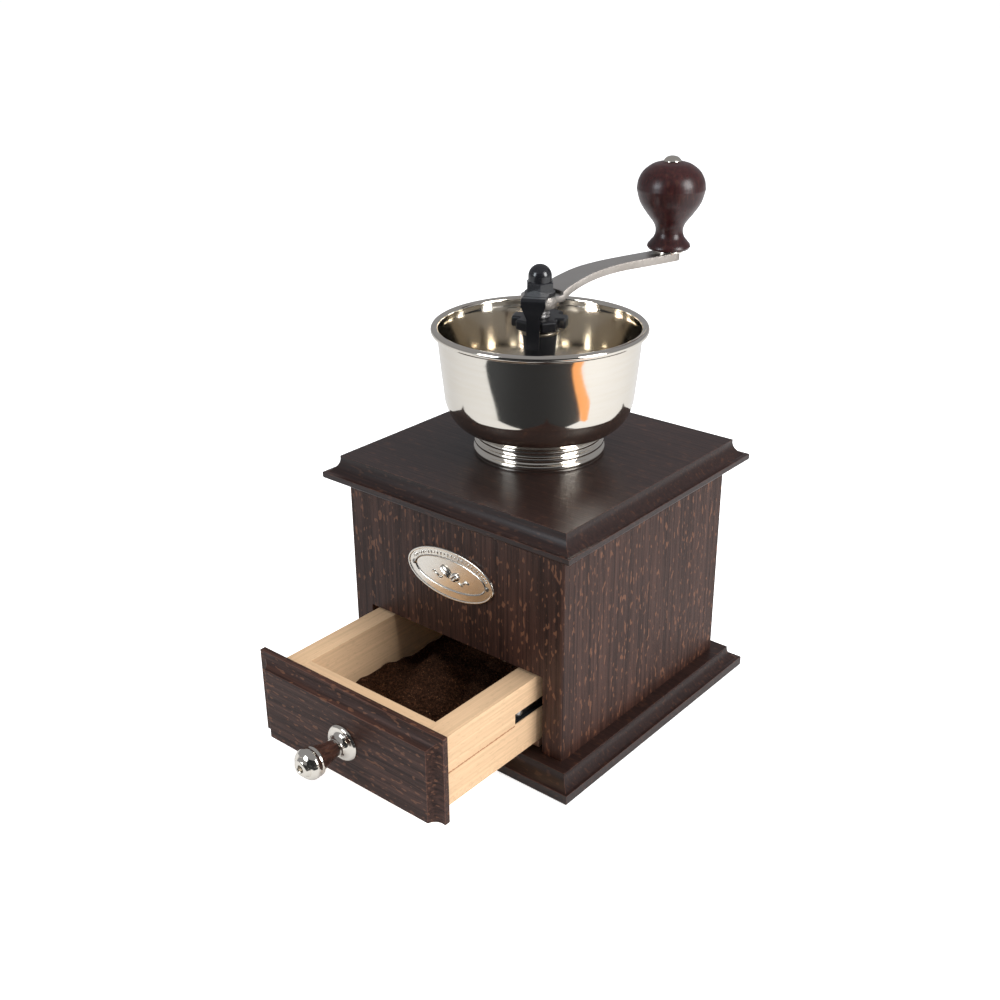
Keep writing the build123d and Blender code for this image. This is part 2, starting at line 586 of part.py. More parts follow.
with BuildPart() as lower_bridge:
    with BuildSketch(Plane.XY.offset(HOUSING_FOOT - BRIDGE_THICK)):
        Rectangle(2 * HOUSING_RADIUS, BRIDGE_WIDTH)
        Circle(HOUSING_RADIUS, mode=Mode.INTERSECT)
        Circle(SHAFT_RADIUS + SHAFT_FIT, mode=Mode.SUBTRACT)
        with Locations(*[(x, 0) for x in BRIDGE_SCREW_PLACES]):
            Circle(BRIDGE_SCREW_RADIUS + SCREW_FIT, mode=Mode.SUBTRACT)
    extrude(amount=BRIDGE_THICK)
save(lower_bridge.part, "lower_bridge")

with BuildPart() as bridge_screws:
    reach = BRIDGE_THICK + BRIDGE_SCREW_BITE - 0.4
    bolt = domed_screw(BRIDGE_SCREW_RADIUS, BRIDGE_SCREW_HEAD, BRIDGE_SCREW_DOME, reach)
    with Locations(*[(x, 0, HOUSING_FOOT - BRIDGE_THICK) for x in BRIDGE_SCREW_PLACES]):
        add(bolt)
save(bridge_screws.part, "bridge_screws")

# ---- Turning mechanism ----
with BuildPart() as spindle:
    with BuildSketch(Plane.XZ):
        root = SHAFT_RADIUS - THREAD_DEPTH
        profile = [(0, SPINDLE_FOOT), (SHAFT_RADIUS - 0.6, SPINDLE_FOOT)]
        profile += [(SHAFT_RADIUS, SPINDLE_FOOT + 0.6), (SHAFT_RADIUS, THREAD_FOOT)]
        level = THREAD_FOOT
        while level + THREAD_PITCH < HUB_FOOT:
            profile += [(root, level + THREAD_PITCH / 2), (SHAFT_RADIUS, level + THREAD_PITCH)]
            level += THREAD_PITCH
        profile += [(root, HUB_FOOT), (NUT_SHANK_RADIUS, HUB_FOOT), (NUT_SHANK_RADIUS, SHANK_TOP)]
        Polygon(*profile, (0, SHANK_TOP), align=None)
    revolve(axis=Axis.Z)
    with Locations((0, 0, HUB_FOOT)):
        Box(HUB_SQUARE, HUB_SQUARE, HUB_THICK, rotation=(0, 0, ARM_TURN),
            align=(Align.CENTER, Align.CENTER, Align.MIN))
save(spindle.part, "spindle")

with BuildPart() as inner_burr:
    for level, tip, turn in ((BURR_FOOT, CONE_FOOT_RADIUS, 0), (BURR_TOP, CONE_TOP_RADIUS, TOOTH_TWIST)):
        with BuildSketch(Plane.XY.offset(level)):
            Polygon(*toothed(tip, TEETH, TOOTH_DEPTH, turn), align=None)
    loft(ruled=True)
    with Locations((0, 0, BURR_FOOT)):
        Cylinder(SHAFT_RADIUS + SCREW_FIT, 3 * BURR_HEIGHT, mode=Mode.SUBTRACT)
save(inner_burr.part, "inner_burr")

with BuildPart() as burr_nut:
    with BuildSketch(Plane.XY.offset(BURR_FOOT - BURR_NUT)):
        RegularPolygon(BURR_NUT_FLATS / 2, 6, major_radius=False)
        Circle(SHAFT_RADIUS + SCREW_FIT, mode=Mode.SUBTRACT)
    extrude(amount=BURR_NUT)
save(burr_nut.part, "burr_nut")

with BuildPart() as thrust_washer:
    with BuildSketch(Plane.XY.offset(THRUST_FOOT)):
        Circle(THRUST_RADIUS)
        Circle(SHAFT_RADIUS + SHAFT_FIT, mode=Mode.SUBTRACT)
    extrude(amount=WASHER_THICK)
save(thrust_washer.part, "thrust_washer")

# The return spring stands between the thrust washer and the underside of the spider's hub.
spring_foot = THRUST_FOOT + WASHER_THICK + SPRING_WIRE / 2 + LAYER_GAP
spring_rise = SPIDER_FOOT - LAYER_GAP - SPRING_WIRE / 2 - spring_foot
with BuildPart() as return_spring:
    with BuildLine(Plane.XY.offset(spring_foot)) as coil:
        Helix(pitch=spring_rise / SPRING_TURNS, height=spring_rise, radius=SPRING_COIL_RADIUS)
    with BuildSketch(Plane(coil.line @ 0, z_dir=coil.line % 0)):
        Circle(SPRING_WIRE / 2)
    sweep(path=coil.line, is_frenet=True)
save(return_spring.part, "return_spring")

with BuildPart() as seat_washer:
    with BuildSketch(Plane.XY.offset(SEAT_FOOT)):
        Circle(WASHER_RADIUS)
        Circle(SHAFT_RADIUS + SHAFT_FIT, mode=Mode.SUBTRACT)
    extrude(amount=WASHER_THICK)
save(seat_washer.part, "seat_washer")

with BuildPart() as star_wheel:
    with BuildSketch(Plane.XY.offset(STAR_FOOT)) as star:
        outline = []
        face = sqrt(STAR_TIP**2 - (STAR_LOBE_WIDTH / 2) ** 2)
        for k in range(STAR_LOBES):
            lobe = radians(STAR_TURN + 360 / STAR_LOBES * k)
            valley = lobe + radians(180 / STAR_LOBES)
            for side in (-STAR_LOBE_WIDTH / 2, STAR_LOBE_WIDTH / 2):
                outline.append((face * cos(lobe) - side * sin(lobe), face * sin(lobe) + side * cos(lobe)))
            outline.append((STAR_VALLEY * cos(valley), STAR_VALLEY * sin(valley)))
        Polygon(*outline, align=None)
        fillet(star.vertices(), STAR_ROUND)
        Circle(SHAFT_RADIUS + SHAFT_FIT, mode=Mode.SUBTRACT)
    extrude(amount=STAR_THICK)
    rims = star_wheel.faces().sort_by(Axis.Z)[-1].outer_wire().edges()
    chamfer(rims, STAR_CHAMFER)
save(star_wheel.part, "star_wheel")

with BuildPart() as crank_arm:
    with BuildSketch(upright(ARM_TURN)):
        with BuildLine():
            reach, bend = ARM_LENGTH + ARM_TIP_WIDTH / 2, ARM_LENGTH * ARM_BEND
            riser = DISC_RADIUS + LAYER_GAP
            Line((0, HUB_TOP), (riser, HUB_TOP))
            Line((riser, HUB_TOP), (riser, HUB_TOP + ARM_STEP))
            climb = [(HUB_RADIUS * span, HUB_TOP + ARM_RISE * share) for span, share in ARM_CLIMB]
            Spline((riser, HUB_TOP + ARM_STEP), *climb, (bend, ARM_TOP), tangents=((1, 0.65), (1, 0)))
            Polyline((bend, ARM_TOP), (reach, ARM_TOP), (reach, ARM_TOP - ARM_THICK),
                     (bend, ARM_TOP - ARM_THICK))
            root_foot = HUB_TOP - ARM_ROOT_THICK
            Spline((bend, ARM_TOP - ARM_THICK), *[(x, z - ARM_THICK * 0.9) for x, z in reversed(climb)],
                   (HUB_RADIUS * 0.9, root_foot), tangents=((-1, 0), (-0.8, -1)))
            Polyline((HUB_RADIUS * 0.9, root_foot), (0, root_foot), (0, HUB_TOP))
        make_face()
    extrude(amount=ARM_ROOT_WIDTH, both=True)
    with BuildSketch(Plane.XY.rotated((0, 0, ARM_TURN)).offset(HUB_FOOT - 1)):
        root, tip, taper = ARM_ROOT_WIDTH / 2, ARM_TIP_WIDTH / 2, HUB_RADIUS * 3
        Polygon((0, -root), (HUB_RADIUS, -root), (taper, -(root + tip) / 2), (ARM_LENGTH * 0.6, -tip),
                (ARM_LENGTH, -tip), (ARM_LENGTH, tip), (ARM_LENGTH * 0.6, tip),
                (taper, (root + tip) / 2), (HUB_RADIUS, root), (0, root), align=None)
        with Locations((ARM_LENGTH, 0)):
            Circle(tip)
    extrude(amount=ARM_TOP - HUB_FOOT + 2, mode=Mode.INTERSECT)
    with Locations((0, 0, HUB_FOOT)):
        Cylinder(HUB_RADIUS, HUB_THICK, align=(Align.CENTER, Align.CENTER, Align.MIN))
        Box(HUB_SQUARE + 2 * SCREW_FIT, HUB_SQUARE + 2 * SCREW_FIT, 3 * HUB_THICK,
            rotation=(0, 0, ARM_TURN), mode=Mode.SUBTRACT)
    with Locations((KNOB_X, KNOB_Y, ARM_TOP)):
        Cylinder(KNOB_PIN_RADIUS + SCREW_FIT, 4 * ARM_THICK, mode=Mode.SUBTRACT)
save(crank_arm.part, "crank_arm")

with BuildPart() as clip_disc:
    with BuildSketch(Plane.XY.rotated((0, 0, TONGUE_TURN)).offset(HUB_TOP)):
        Circle(DISC_RADIUS)
        Rectangle(TONGUE_ROOT - TONGUE_SPLIT / 2, TONGUE_TOP_WIDTH, align=(Align.MIN, Align.CENTER))
        Circle(NUT_SHANK_RADIUS + SCREW_FIT, mode=Mode.SUBTRACT)
    extrude(amount=DISC_THICK)
save(clip_disc.part, "clip_disc")

# The tongue runs out from the disc, bends down past the star's lobes and flares at its end.
with BuildPart() as clip_tongue:
    inside = STAR_TIP + TONGUE_CLEAR
    outside = inside + TONGUE_THICK
    tongue_end = DISC_TOP - TONGUE_LENGTH
    with BuildSketch(upright(TONGUE_TURN)):
        with BuildLine():
            start, bend = TONGUE_ROOT + TONGUE_SPLIT / 2, TONGUE_THICK * 0.4
            Polyline((start, DISC_TOP), (start, HUB_TOP), (inside - bend, HUB_TOP))
            JernArc((inside - bend, HUB_TOP), (1, 0), bend, -90)
            Polyline((inside, HUB_TOP - bend), (inside, tongue_end + TONGUE_FLARE_LENGTH),
                     (inside + TONGUE_FLARE, tongue_end), (outside + TONGUE_FLARE, tongue_end),
                     (outside, tongue_end + TONGUE_FLARE_LENGTH), (outside, DISC_TOP - bend - TONGUE_THICK))
            JernArc((outside, DISC_TOP - bend - TONGUE_THICK), (0, 1), bend + TONGUE_THICK, 90)
            Line((inside - bend, DISC_TOP), (start, DISC_TOP))
        make_face()
    extrude(amount=TONGUE_TOP_WIDTH, both=True)
    across = Plane(upright(TONGUE_TURN).origin, x_dir=upright(TONGUE_TURN).z_dir,
                   z_dir=upright(TONGUE_TURN).x_dir)
    with BuildSketch(across):
        wide, slim = TONGUE_TOP_WIDTH / 2, TONGUE_WIDTH / 2
        shoulder, waist = DISC_TOP - TONGUE_SHOULDER, DISC_TOP - TONGUE_WAIST
        up = 1 if across.y_dir.Z > 0 else -1
        Polygon((-wide, up * (DISC_TOP + 1)), (wide, up * (DISC_TOP + 1)), (wide, up * shoulder),
                (slim, up * waist), (slim, up * (tongue_end - 1)), (-slim, up * (tongue_end - 1)),
                (-slim, up * waist), (-wide, up * shoulder), align=None)
    extrude(amount=outside + TONGUE_FLARE + 1, mode=Mode.INTERSECT)
save(clip_tongue.part, "clip_tongue")

with BuildPart() as dome_nut:
    with BuildSketch(Plane.XY.offset(DISC_TOP)):
        RegularPolygon(NUT_FLATS / 2, 6, major_radius=False, rotation=NUT_TURN)
    extrude(amount=NUT_HEIGHT)
    chamfer(dome_nut.faces().sort_by(Axis.Z)[-1].edges(), NUT_CHAMFER)
    with BuildSketch(Plane.XZ):
        with BuildLine():
            spring_line = NUT_TOP + DOME_HEIGHT - DOME_RADIUS
            Polyline((0, NUT_TOP - 1), (DOME_RADIUS, NUT_TOP - 1), (DOME_RADIUS, spring_line))
            RadiusArc((DOME_RADIUS, spring_line), (0, spring_line + DOME_RADIUS), -DOME_RADIUS)
            Line((0, spring_line + DOME_RADIUS), (0, NUT_TOP - 1))
        make_face()
    revolve(axis=Axis.Z)
    with Locations((0, 0, DISC_TOP)):
        Cylinder(NUT_SHANK_RADIUS + SCREW_FIT, 2 * (SHANK_TOP - DISC_TOP + 0.3), mode=Mode.SUBTRACT)
save(dome_nut.part, "dome_nut")

# ---- Crank knob ----
KNOB_SECTION = Plane(origin=(KNOB_X, KNOB_Y, 0), x_dir=(1, 0, 0), z_dir=(0, -1, 0))
KNOB_AXIS = Axis((KNOB_X, KNOB_Y, 0), (0, 0, 1))

with BuildPart() as knob_washer:
    with BuildSketch(Plane.XY.offset(ARM_TOP)):
        with Locations((KNOB_X, KNOB_Y)):
            Circle(KNOB_WASHER_RADIUS)
            Circle(KNOB_PIN_RADIUS + SCREW_FIT, mode=Mode.SUBTRACT)
    extrude(amount=KNOB_WASHER)
save(knob_washer.part, "knob_washer")

with BuildPart() as crank_knob:
    with BuildSketch(KNOB_SECTION):
        with BuildLine():
            bore, foot, top = KNOB_PIN_RADIUS + SHAFT_FIT, KNOB_FOOT, KNOB_TOP
            flare, ball = KNOB_FLARE_RADIUS, KNOB_BALL_RADIUS
            Polyline((bore, foot), (flare - 2.2, foot), (flare - 0.4, foot + 0.7), (flare, foot + 1.6),
                     (flare - 0.7, foot + 2.6))
            Spline((flare - 0.7, foot + 2.6), (KNOB_NECK_RADIUS, foot + 0.22 * KNOB_HEIGHT),
                   (0.7 * ball, foot + 0.42 * KNOB_HEIGHT), (ball, foot + KNOB_WIDEST * KNOB_HEIGHT),
                   tangents=((-1, 0.45), (0, 1)))
            Spline((ball, foot + KNOB_WIDEST * KNOB_HEIGHT), (KNOB_PIN_HEAD + 0.3, top),
                   tangents=((0, 1), (-1, 0)), tangent_scalars=(1.15, 1.15))
            Polyline((KNOB_PIN_HEAD + 0.3, top), (bore, top), (bore, foot))
        make_face()
    revolve(axis=KNOB_AXIS)
save(crank_knob.part, "crank_knob")

with BuildPart() as knob_pin:
    shank = KNOB_TOP + KNOB_HEAD_GAP - (ARM_TOP - ARM_THICK)
    with Locations(Location((KNOB_X, KNOB_Y, KNOB_TOP + KNOB_HEAD_GAP), (180, 0, 0))):
        add(domed_screw(KNOB_PIN_RADIUS, KNOB_PIN_HEAD, KNOB_PIN_DOME, shank))
save(knob_pin.part, "knob_pin")

# ---- Drawer ----
# Bands and coves run round the top and the ends of the show front; its foot is cut plain.
with BuildPart() as drawer_front:
    hollow_y = FIELD_FACE + FRONT_FIELD * SLANT
    hollow_in = QUIRK + (FRONT_COVE - QUIRK) * SLANT
    with BuildSketch(Plane.XY.offset(FRONT_BOTTOM)):
        with BuildLine():
            Polyline((0, BAND_BACK), (FRONT_HALF, BAND_BACK), (FRONT_HALF, BAND_FACE),
                     (FRONT_HALF - QUIRK, BAND_FACE))
            ThreePointArc((FRONT_HALF - QUIRK, BAND_FACE), (FRONT_HALF - hollow_in, hollow_y),
                          (FRONT_HALF - FRONT_COVE, FIELD_FACE))
            Line((FRONT_HALF - FRONT_COVE, FIELD_FACE), (0, FIELD_FACE))
            mirror(about=Plane.YZ)
        make_face()
    extrude(amount=FRONT_TOP - FRONT_BOTTOM)
    with BuildSketch(Plane.YZ):
        with BuildLine():
            Polyline((FIELD_FACE, FRONT_BOTTOM), (BAND_BACK, FRONT_BOTTOM), (BAND_BACK, FRONT_TOP),
                     (BAND_FACE, FRONT_TOP), (BAND_FACE, FRONT_TOP - QUIRK))
            ThreePointArc((BAND_FACE, FRONT_TOP - QUIRK), (hollow_y, FRONT_TOP - hollow_in),
                          (FIELD_FACE, FRONT_TOP - FRONT_COVE))
            Line((FIELD_FACE, FRONT_TOP - FRONT_COVE), (FIELD_FACE, FRONT_BOTTOM))
        make_face()
    extrude(amount=FRONT_HALF, both=True, mode=Mode.INTERSECT)
    with Locations(Location((0, BAND_BACK, PULL_Z), (90, 0, 0))):
        Cylinder(PULL_SCREW_RADIUS + SCREW_FIT, 4 * END_THICK, mode=Mode.SUBTRACT)
    with Locations(*[Location((x, BAND_BACK, PULL_Z), (90, 0, 0)) for x in FRONT_SCREWS]):
        Cylinder(WOOD_SCREW_RADIUS + SCREW_FIT, 2 * FRONT_SCREW_BITE + 0.2, mode=Mode.SUBTRACT)
save(drawer_front.part, "drawer_front")

with BuildPart() as drawer_inner_front:
    with Locations((0, BAND_BACK, SIDE_FOOT)):
        Box(2 * DRAWER_INNER, END_THICK, DRAWER_TOP - SIDE_FOOT,
            align=(Align.CENTER, Align.MIN, Align.MIN))
    with Locations(Location((0, BAND_BACK, PULL_Z), (90, 0, 0))):
        Cylinder(PULL_SCREW_RADIUS + SCREW_FIT, 4 * END_THICK, mode=Mode.SUBTRACT)
    with Locations(*[Location((x, POCKET_FRONT, PULL_Z), (90, 0, 0)) for x in FRONT_SCREWS]):
        add(countersunk_screw(WOOD_SCREW_RADIUS + SCREW_FIT, WOOD_SCREW_HEAD + SCREW_FIT, 2 * END_THICK),
            mode=Mode.SUBTRACT)
        Cylinder(WOOD_SCREW_HEAD + SCREW_FIT, 2 * SLOT_DEPTH, mode=Mode.SUBTRACT)
save(drawer_inner_front.part, "drawer_inner_front")

with BuildPart() as drawer_back:
    with Locations((0, DRAWER_REAR, SIDE_FOOT)):
        Box(2 * DRAWER_INNER, END_THICK, DRAWER_TOP - SIDE_FOOT,
            align=(Align.CENTER, Align.MAX, Align.MIN))
save(drawer_back.part, "drawer_back")

with BuildPart() as drawer_bottom:
    with Locations((0, BAND_BACK, DRAWER_FOOT)):
        Box(DRAWER_WIDTH, DRAWER_REAR - BAND_BACK, BOTTOM_THICK,
            align=(Align.CENTER, Align.MIN, Align.MIN))
save(drawer_bottom.part, "drawer_bottom")

# A leaf spring is screwed down at the front of its slot, bows out and ends loose at the back.
LEAF_SCREW_SEAT = Location((DRAWER_HALF - SPRING_SLOT_DEPTH + LEAF_THICK,
                            SLOT_FRONT + LEAF_SCREW_PLACE, SLOT_Z), (0, -90, 0))
with BuildPart() as right_side:
    with Locations((DRAWER_HALF, BAND_BACK, SIDE_FOOT)):
        Box(SIDE_THICK, DRAWER_REAR - BAND_BACK, DRAWER_TOP - SIDE_FOOT,
            align=(Align.MAX, Align.MIN, Align.MIN))
    with Locations((DRAWER_HALF, SLOT_FRONT, SLOT_Z)):
        Box(2 * SPRING_SLOT_DEPTH, SPRING_SLOT_LENGTH, SPRING_SLOT_HEIGHT,
            align=(Align.CENTER, Align.MIN, Align.CENTER), mode=Mode.SUBTRACT)
    with Locations(LEAF_SCREW_SEAT):
        Cylinder(LEAF_SCREW_RADIUS + SCREW_FIT, 2 * (LEAF_THICK + LEAF_SCREW_BITE), mode=Mode.SUBTRACT)

with BuildPart() as right_leaf:
    with BuildSketch(Plane.XY.offset(SLOT_Z - LEAF_WIDTH / 2)):
        with BuildLine():
            seat, start = DRAWER_HALF - SPRING_SLOT_DEPTH, SLOT_FRONT + 0.8
            bow, end = SLOT_FRONT + 0.55 * SPRING_SLOT_LENGTH, SLOT_FRONT + 0.93 * SPRING_SLOT_LENGTH
            out = DRAWER_HALF + LEAF_BULGE
            Line((seat, start), (seat, start + LEAF_FOOT))
            Spline((seat, start + LEAF_FOOT), (out - LEAF_THICK, bow), (seat + 0.3, end),
                   tangents=((0, 1), (-1, 1.6)))
            Line((seat + 0.3, end), (seat + 0.3 + LEAF_THICK, end + 0.1))
            Spline((seat + 0.3 + LEAF_THICK, end + 0.1), (out, bow), (seat + LEAF_THICK, start + LEAF_FOOT),
                   tangents=((1, -1.6), (0, -1)))
            Polyline((seat + LEAF_THICK, start + LEAF_FOOT), (seat + LEAF_THICK, start), (seat, start))
        make_face()
    extrude(amount=LEAF_WIDTH)
    with Locations(LEAF_SCREW_SEAT):
        Cylinder(LEAF_SCREW_RADIUS + SCREW_FIT, 4 * LEAF_THICK, mode=Mode.SUBTRACT)

with BuildPart() as right_leaf_screw:
    with Locations(LEAF_SCREW_SEAT):
        add(domed_screw(
            LEAF_SCREW_RADIUS, LEAF_SCREW_HEAD, LEAF_SCREW_DOME, LEAF_THICK + LEAF_SCREW_BITE - 0.4
        ))

save(right_side.part, "drawer_right_side")
save(mirror(right_side.part, Plane.YZ), "drawer_left_side")
save(right_leaf.part, "right_leaf_spring")
save(mirror(right_leaf.part, Plane.YZ), "left_leaf_spring")
with BuildPart() as leaf_screws:
    add(right_leaf_screw.part)
    mirror(about=Plane.YZ)
save(leaf_screws.part, "leaf_screws")

with BuildPart() as front_screws:
    reach = END_THICK + FRONT_SCREW_BITE - 0.2
    with Locations(*[Location((x, POCKET_FRONT, PULL_Z), (90, 0, 0)) for x in FRONT_SCREWS]):
        add(countersunk_screw(WOOD_SCREW_RADIUS, WOOD_SCREW_HEAD, reach))
save(front_screws.part, "drawer_front_screws")

# The pull is a stack on one screw: metal rosette, tapered wooden stem and metal cap.
PULL_SECTION = Plane(origin=(0, FIELD_FACE, PULL_Z), x_dir=(0, 0, 1), z_dir=(1, 0, 0))
PULL_AXIS = Axis((0, FIELD_FACE, PULL_Z), (0, -1, 0))
PULL_BORE = PULL_SCREW_RADIUS + SCREW_FIT

with BuildPart() as pull_rosette:
    with BuildSketch(PULL_SECTION):
        with BuildLine():
            Polyline((PULL_BORE, 0), (PULL_DISC_RADIUS, 0), (PULL_DISC_RADIUS, 0.5 * PULL_DISC),
                     (PULL_DISC_RADIUS - 0.6, PULL_DISC))
            Spline((PULL_DISC_RADIUS - 0.6, PULL_DISC), (PULL_NECK_RADIUS, PULL_STEM_FOOT),
                   tangents=((-1, 0.25), (-0.25, 1)))
            Polyline((PULL_NECK_RADIUS, PULL_STEM_FOOT), (PULL_BORE, PULL_STEM_FOOT), (PULL_BORE, 0))
        make_face()
    revolve(axis=PULL_AXIS)
save(pull_rosette.part, "pull_rosette")

with BuildPart() as pull_stem:
    with BuildSketch(PULL_SECTION):
        Polygon((PULL_BORE, PULL_STEM_FOOT), (PULL_STEM_SMALL, PULL_STEM_FOOT),
                (PULL_STEM_LARGE, PULL_CAP_FOOT), (PULL_BORE, PULL_CAP_FOOT), align=None)
    revolve(axis=PULL_AXIS)
save(pull_stem.part, "pull_stem")

with BuildPart() as pull_cap:
    with BuildSketch(PULL_SECTION):
        with BuildLine():
            end, rim = PULL_CAP_FOOT + PULL_CAP, PULL_CAP_RADIUS
            Polyline((PULL_BORE, PULL_CAP_FOOT), (rim - 0.7, PULL_CAP_FOOT),
                     (rim - 0.2, PULL_CAP_FOOT + 0.5), (rim - 0.1, PULL_CAP_FOOT + 0.3 * PULL_CAP))
            Spline((rim - 0.1, PULL_CAP_FOOT + 0.3 * PULL_CAP), (rim, PULL_CAP_FOOT + 0.48 * PULL_CAP),
                   (0.66 * rim, end - 0.12 * PULL_CAP), tangents=((0.2, 1), (-1, 0.35)))
            Polyline((0.66 * rim, end - 0.12 * PULL_CAP), (0.6 * rim, end - 0.17 * PULL_CAP))
            Spline((0.6 * rim, end - 0.17 * PULL_CAP), (0.48 * rim, end - 0.02 * PULL_CAP),
                   (PULL_DIMPLE_RADIUS, end), tangents=((-0.2, 1), (-1, 0.05)))
            Polyline((PULL_DIMPLE_RADIUS, end), (PULL_DIMPLE_RADIUS, end - 1.4), (0, end - 1.4),
                     (0, PULL_CAP_FOOT + PULL_SCREW_BITE), (PULL_BORE, PULL_CAP_FOOT + PULL_SCREW_BITE),
                     (PULL_BORE, PULL_CAP_FOOT))
        make_face()
    revolve(axis=PULL_AXIS)
save(pull_cap.part, "pull_cap")

with BuildPart() as pull_screw:
    reach = POCKET_FRONT - FIELD_FACE + PULL_CAP_FOOT + PULL_SCREW_BITE - 0.3
    with Locations(Location((0, POCKET_FRONT, PULL_Z), (90, 0, 0))):
        add(domed_screw(PULL_SCREW_RADIUS, PULL_SCREW_HEAD, PULL_SCREW_DOME, reach))
save(pull_screw.part, "pull_screw")

with BuildPart() as ground_coffee:
    width, depth = 2 * (DRAWER_INNER - COFFEE_MARGIN), POCKET_REAR - POCKET_FRONT - 2 * COFFEE_MARGIN
    middle, surface = (POCKET_FRONT + POCKET_REAR) / 2, SIDE_FOOT + COFFEE_BED
    with Locations((0, middle, SIDE_FOOT)):
        Box(width, depth, COFFEE_BED, align=(Align.CENTER, Align.CENTER, Align.MIN))
    with BuildSketch(Plane(origin=(-COFFEE_OFF_CENTRE, middle, 0), x_dir=(1, 0, 0), z_dir=(0, -1, 0))):
        with BuildLine():
            Spline((0, surface + COFFEE_HEAP), (0.5 * COFFEE_HEAP_RADIUS, surface + 0.66 * COFFEE_HEAP),
                   (COFFEE_HEAP_RADIUS, surface), tangents=((1, 0), (1, -0.25)))
            Polyline((COFFEE_HEAP_RADIUS, surface), (0, surface), (0, surface + COFFEE_HEAP))
        make_face()
    revolve(axis=Axis((-COFFEE_OFF_CENTRE, middle, 0), (0, 0, 1)))
save(ground_coffee.part, "ground_coffee")
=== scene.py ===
import random
from math import cos, pi, radians, sin, sqrt

import bpy
from mathutils import Matrix, Vector


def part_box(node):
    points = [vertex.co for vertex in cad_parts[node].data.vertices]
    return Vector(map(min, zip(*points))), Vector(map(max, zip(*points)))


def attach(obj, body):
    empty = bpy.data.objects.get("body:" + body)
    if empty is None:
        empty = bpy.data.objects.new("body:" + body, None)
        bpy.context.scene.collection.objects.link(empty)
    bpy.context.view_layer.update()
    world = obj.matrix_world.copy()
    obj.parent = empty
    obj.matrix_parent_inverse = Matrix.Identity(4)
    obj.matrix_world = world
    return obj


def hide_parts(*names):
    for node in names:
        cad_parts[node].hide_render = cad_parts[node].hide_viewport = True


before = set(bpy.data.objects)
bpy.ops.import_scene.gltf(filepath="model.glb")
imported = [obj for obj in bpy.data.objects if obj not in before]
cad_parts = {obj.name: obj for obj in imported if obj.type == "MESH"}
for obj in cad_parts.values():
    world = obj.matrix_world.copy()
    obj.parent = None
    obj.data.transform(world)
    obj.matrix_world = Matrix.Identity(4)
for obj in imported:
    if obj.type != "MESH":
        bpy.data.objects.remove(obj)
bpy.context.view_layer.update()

bl_info = {
    "name": "Box coffee mill",
    "version": (1, 0, 0),
    "blender": (4, 5, 0),
    "location": "View3D > Sidebar > Coffee mill",
    "description": "Finishes a hand-cranked box coffee mill: wood, nickel, black metal and ground coffee",
    "category": "Object",
}

MM = 0.001
UP = Vector((0, 0, 1))
CAMERA_PLACE = (0.29629, -0.37831, 0.30489)
CAMERA_HEADING, CAMERA_PITCH, CAMERA_ROLL = radians(39.86), radians(24.76), radians(-0.41)
CAMERA_LENS, CAMERA_SENSOR = 45.595, 36
CAMERA_SHIFT = (-0.0027, 0.0063)
COFFEE_DEPTH = 3.7 * MM  # where the heap has run flat
HEAP_HEIGHT = 10.2 * MM  # of the heap above that
HEAP_RADIUS = 29 * MM
GRAIN_UP = (0, 0, 0)
GRAIN_X = (0, -pi / 2, 0)
GRAIN_Y = (pi / 2, 0, 0)


# ---- Working on meshes ----

def clear_selection():
    """Back to object mode with nothing selected."""
    if bpy.context.object and bpy.context.object.mode != "OBJECT":
        bpy.ops.object.mode_set(mode="OBJECT")
    bpy.ops.object.select_all(action="DESELECT")


def pick(piece):
    """Makes one object the selected and active one."""
    clear_selection()
    piece.select_set(True)
    bpy.context.view_layer.objects.active = piece


def named(name):
    """Names the object that was just added and bakes its place into its mesh."""
    piece = bpy.context.object
    piece.name = piece.data.name = name
    pick(piece)
    bpy.ops.object.transform_apply(location=True, rotation=True, scale=True)
    return piece


def tidy(piece, merge=1e-6):
    """Merges doubled points and turns every face outward."""
    pick(piece)
    bpy.ops.object.mode_set(mode="EDIT")
    bpy.ops.mesh.select_all(action="SELECT")
    bpy.ops.mesh.remove_doubles(threshold=merge)
    bpy.ops.mesh.normals_make_consistent(inside=False)
    bpy.ops.object.mode_set(mode="OBJECT")


def apply_all(piece):
    """Applies every modifier on the piece."""
    pick(piece)
    for modifier in list(piece.modifiers):
        bpy.ops.object.modifier_apply(modifier=modifier.name)


def bevelled(piece, width, segments, angle, edge_slot=None):
    """Rounds the piece's sharp edges; edge_slot is the material slot of the rounded faces."""
    modifier = piece.modifiers.new("Eased", "BEVEL")
    modifier.width = width
    modifier.segments = segments
    modifier.limit_method = "ANGLE"
    modifier.angle_limit = radians(angle)
    modifier.use_clamp_overlap = True
    if edge_slot is not None:
        modifier.material = edge_slot
    apply_all(piece)


def smooth(piece, angle=30, weighted=False):
    """Smooth shading that keeps edges sharper than the angle; weighted keeps flat faces flat."""
    pick(piece)
    bpy.ops.object.shade_smooth_by_angle(angle=radians(angle))
    if weighted:
        modifier = piece.modifiers.new("Flat faces", "WEIGHTED_NORMAL")
        modifier.keep_sharp = True
        apply_all(piece)


def dress(piece, *materials):
    """Gives the piece these material slots."""
    piece.data.materials.clear()
    for material in materials:
        piece.data.materials.append(material)
    return piece


def seat(piece, body, slot, *nodes):
    """Puts a finished piece on its body, in place of the nodes it stands for."""
    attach(piece, body)
    if nodes:
        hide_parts(*nodes)
    return piece


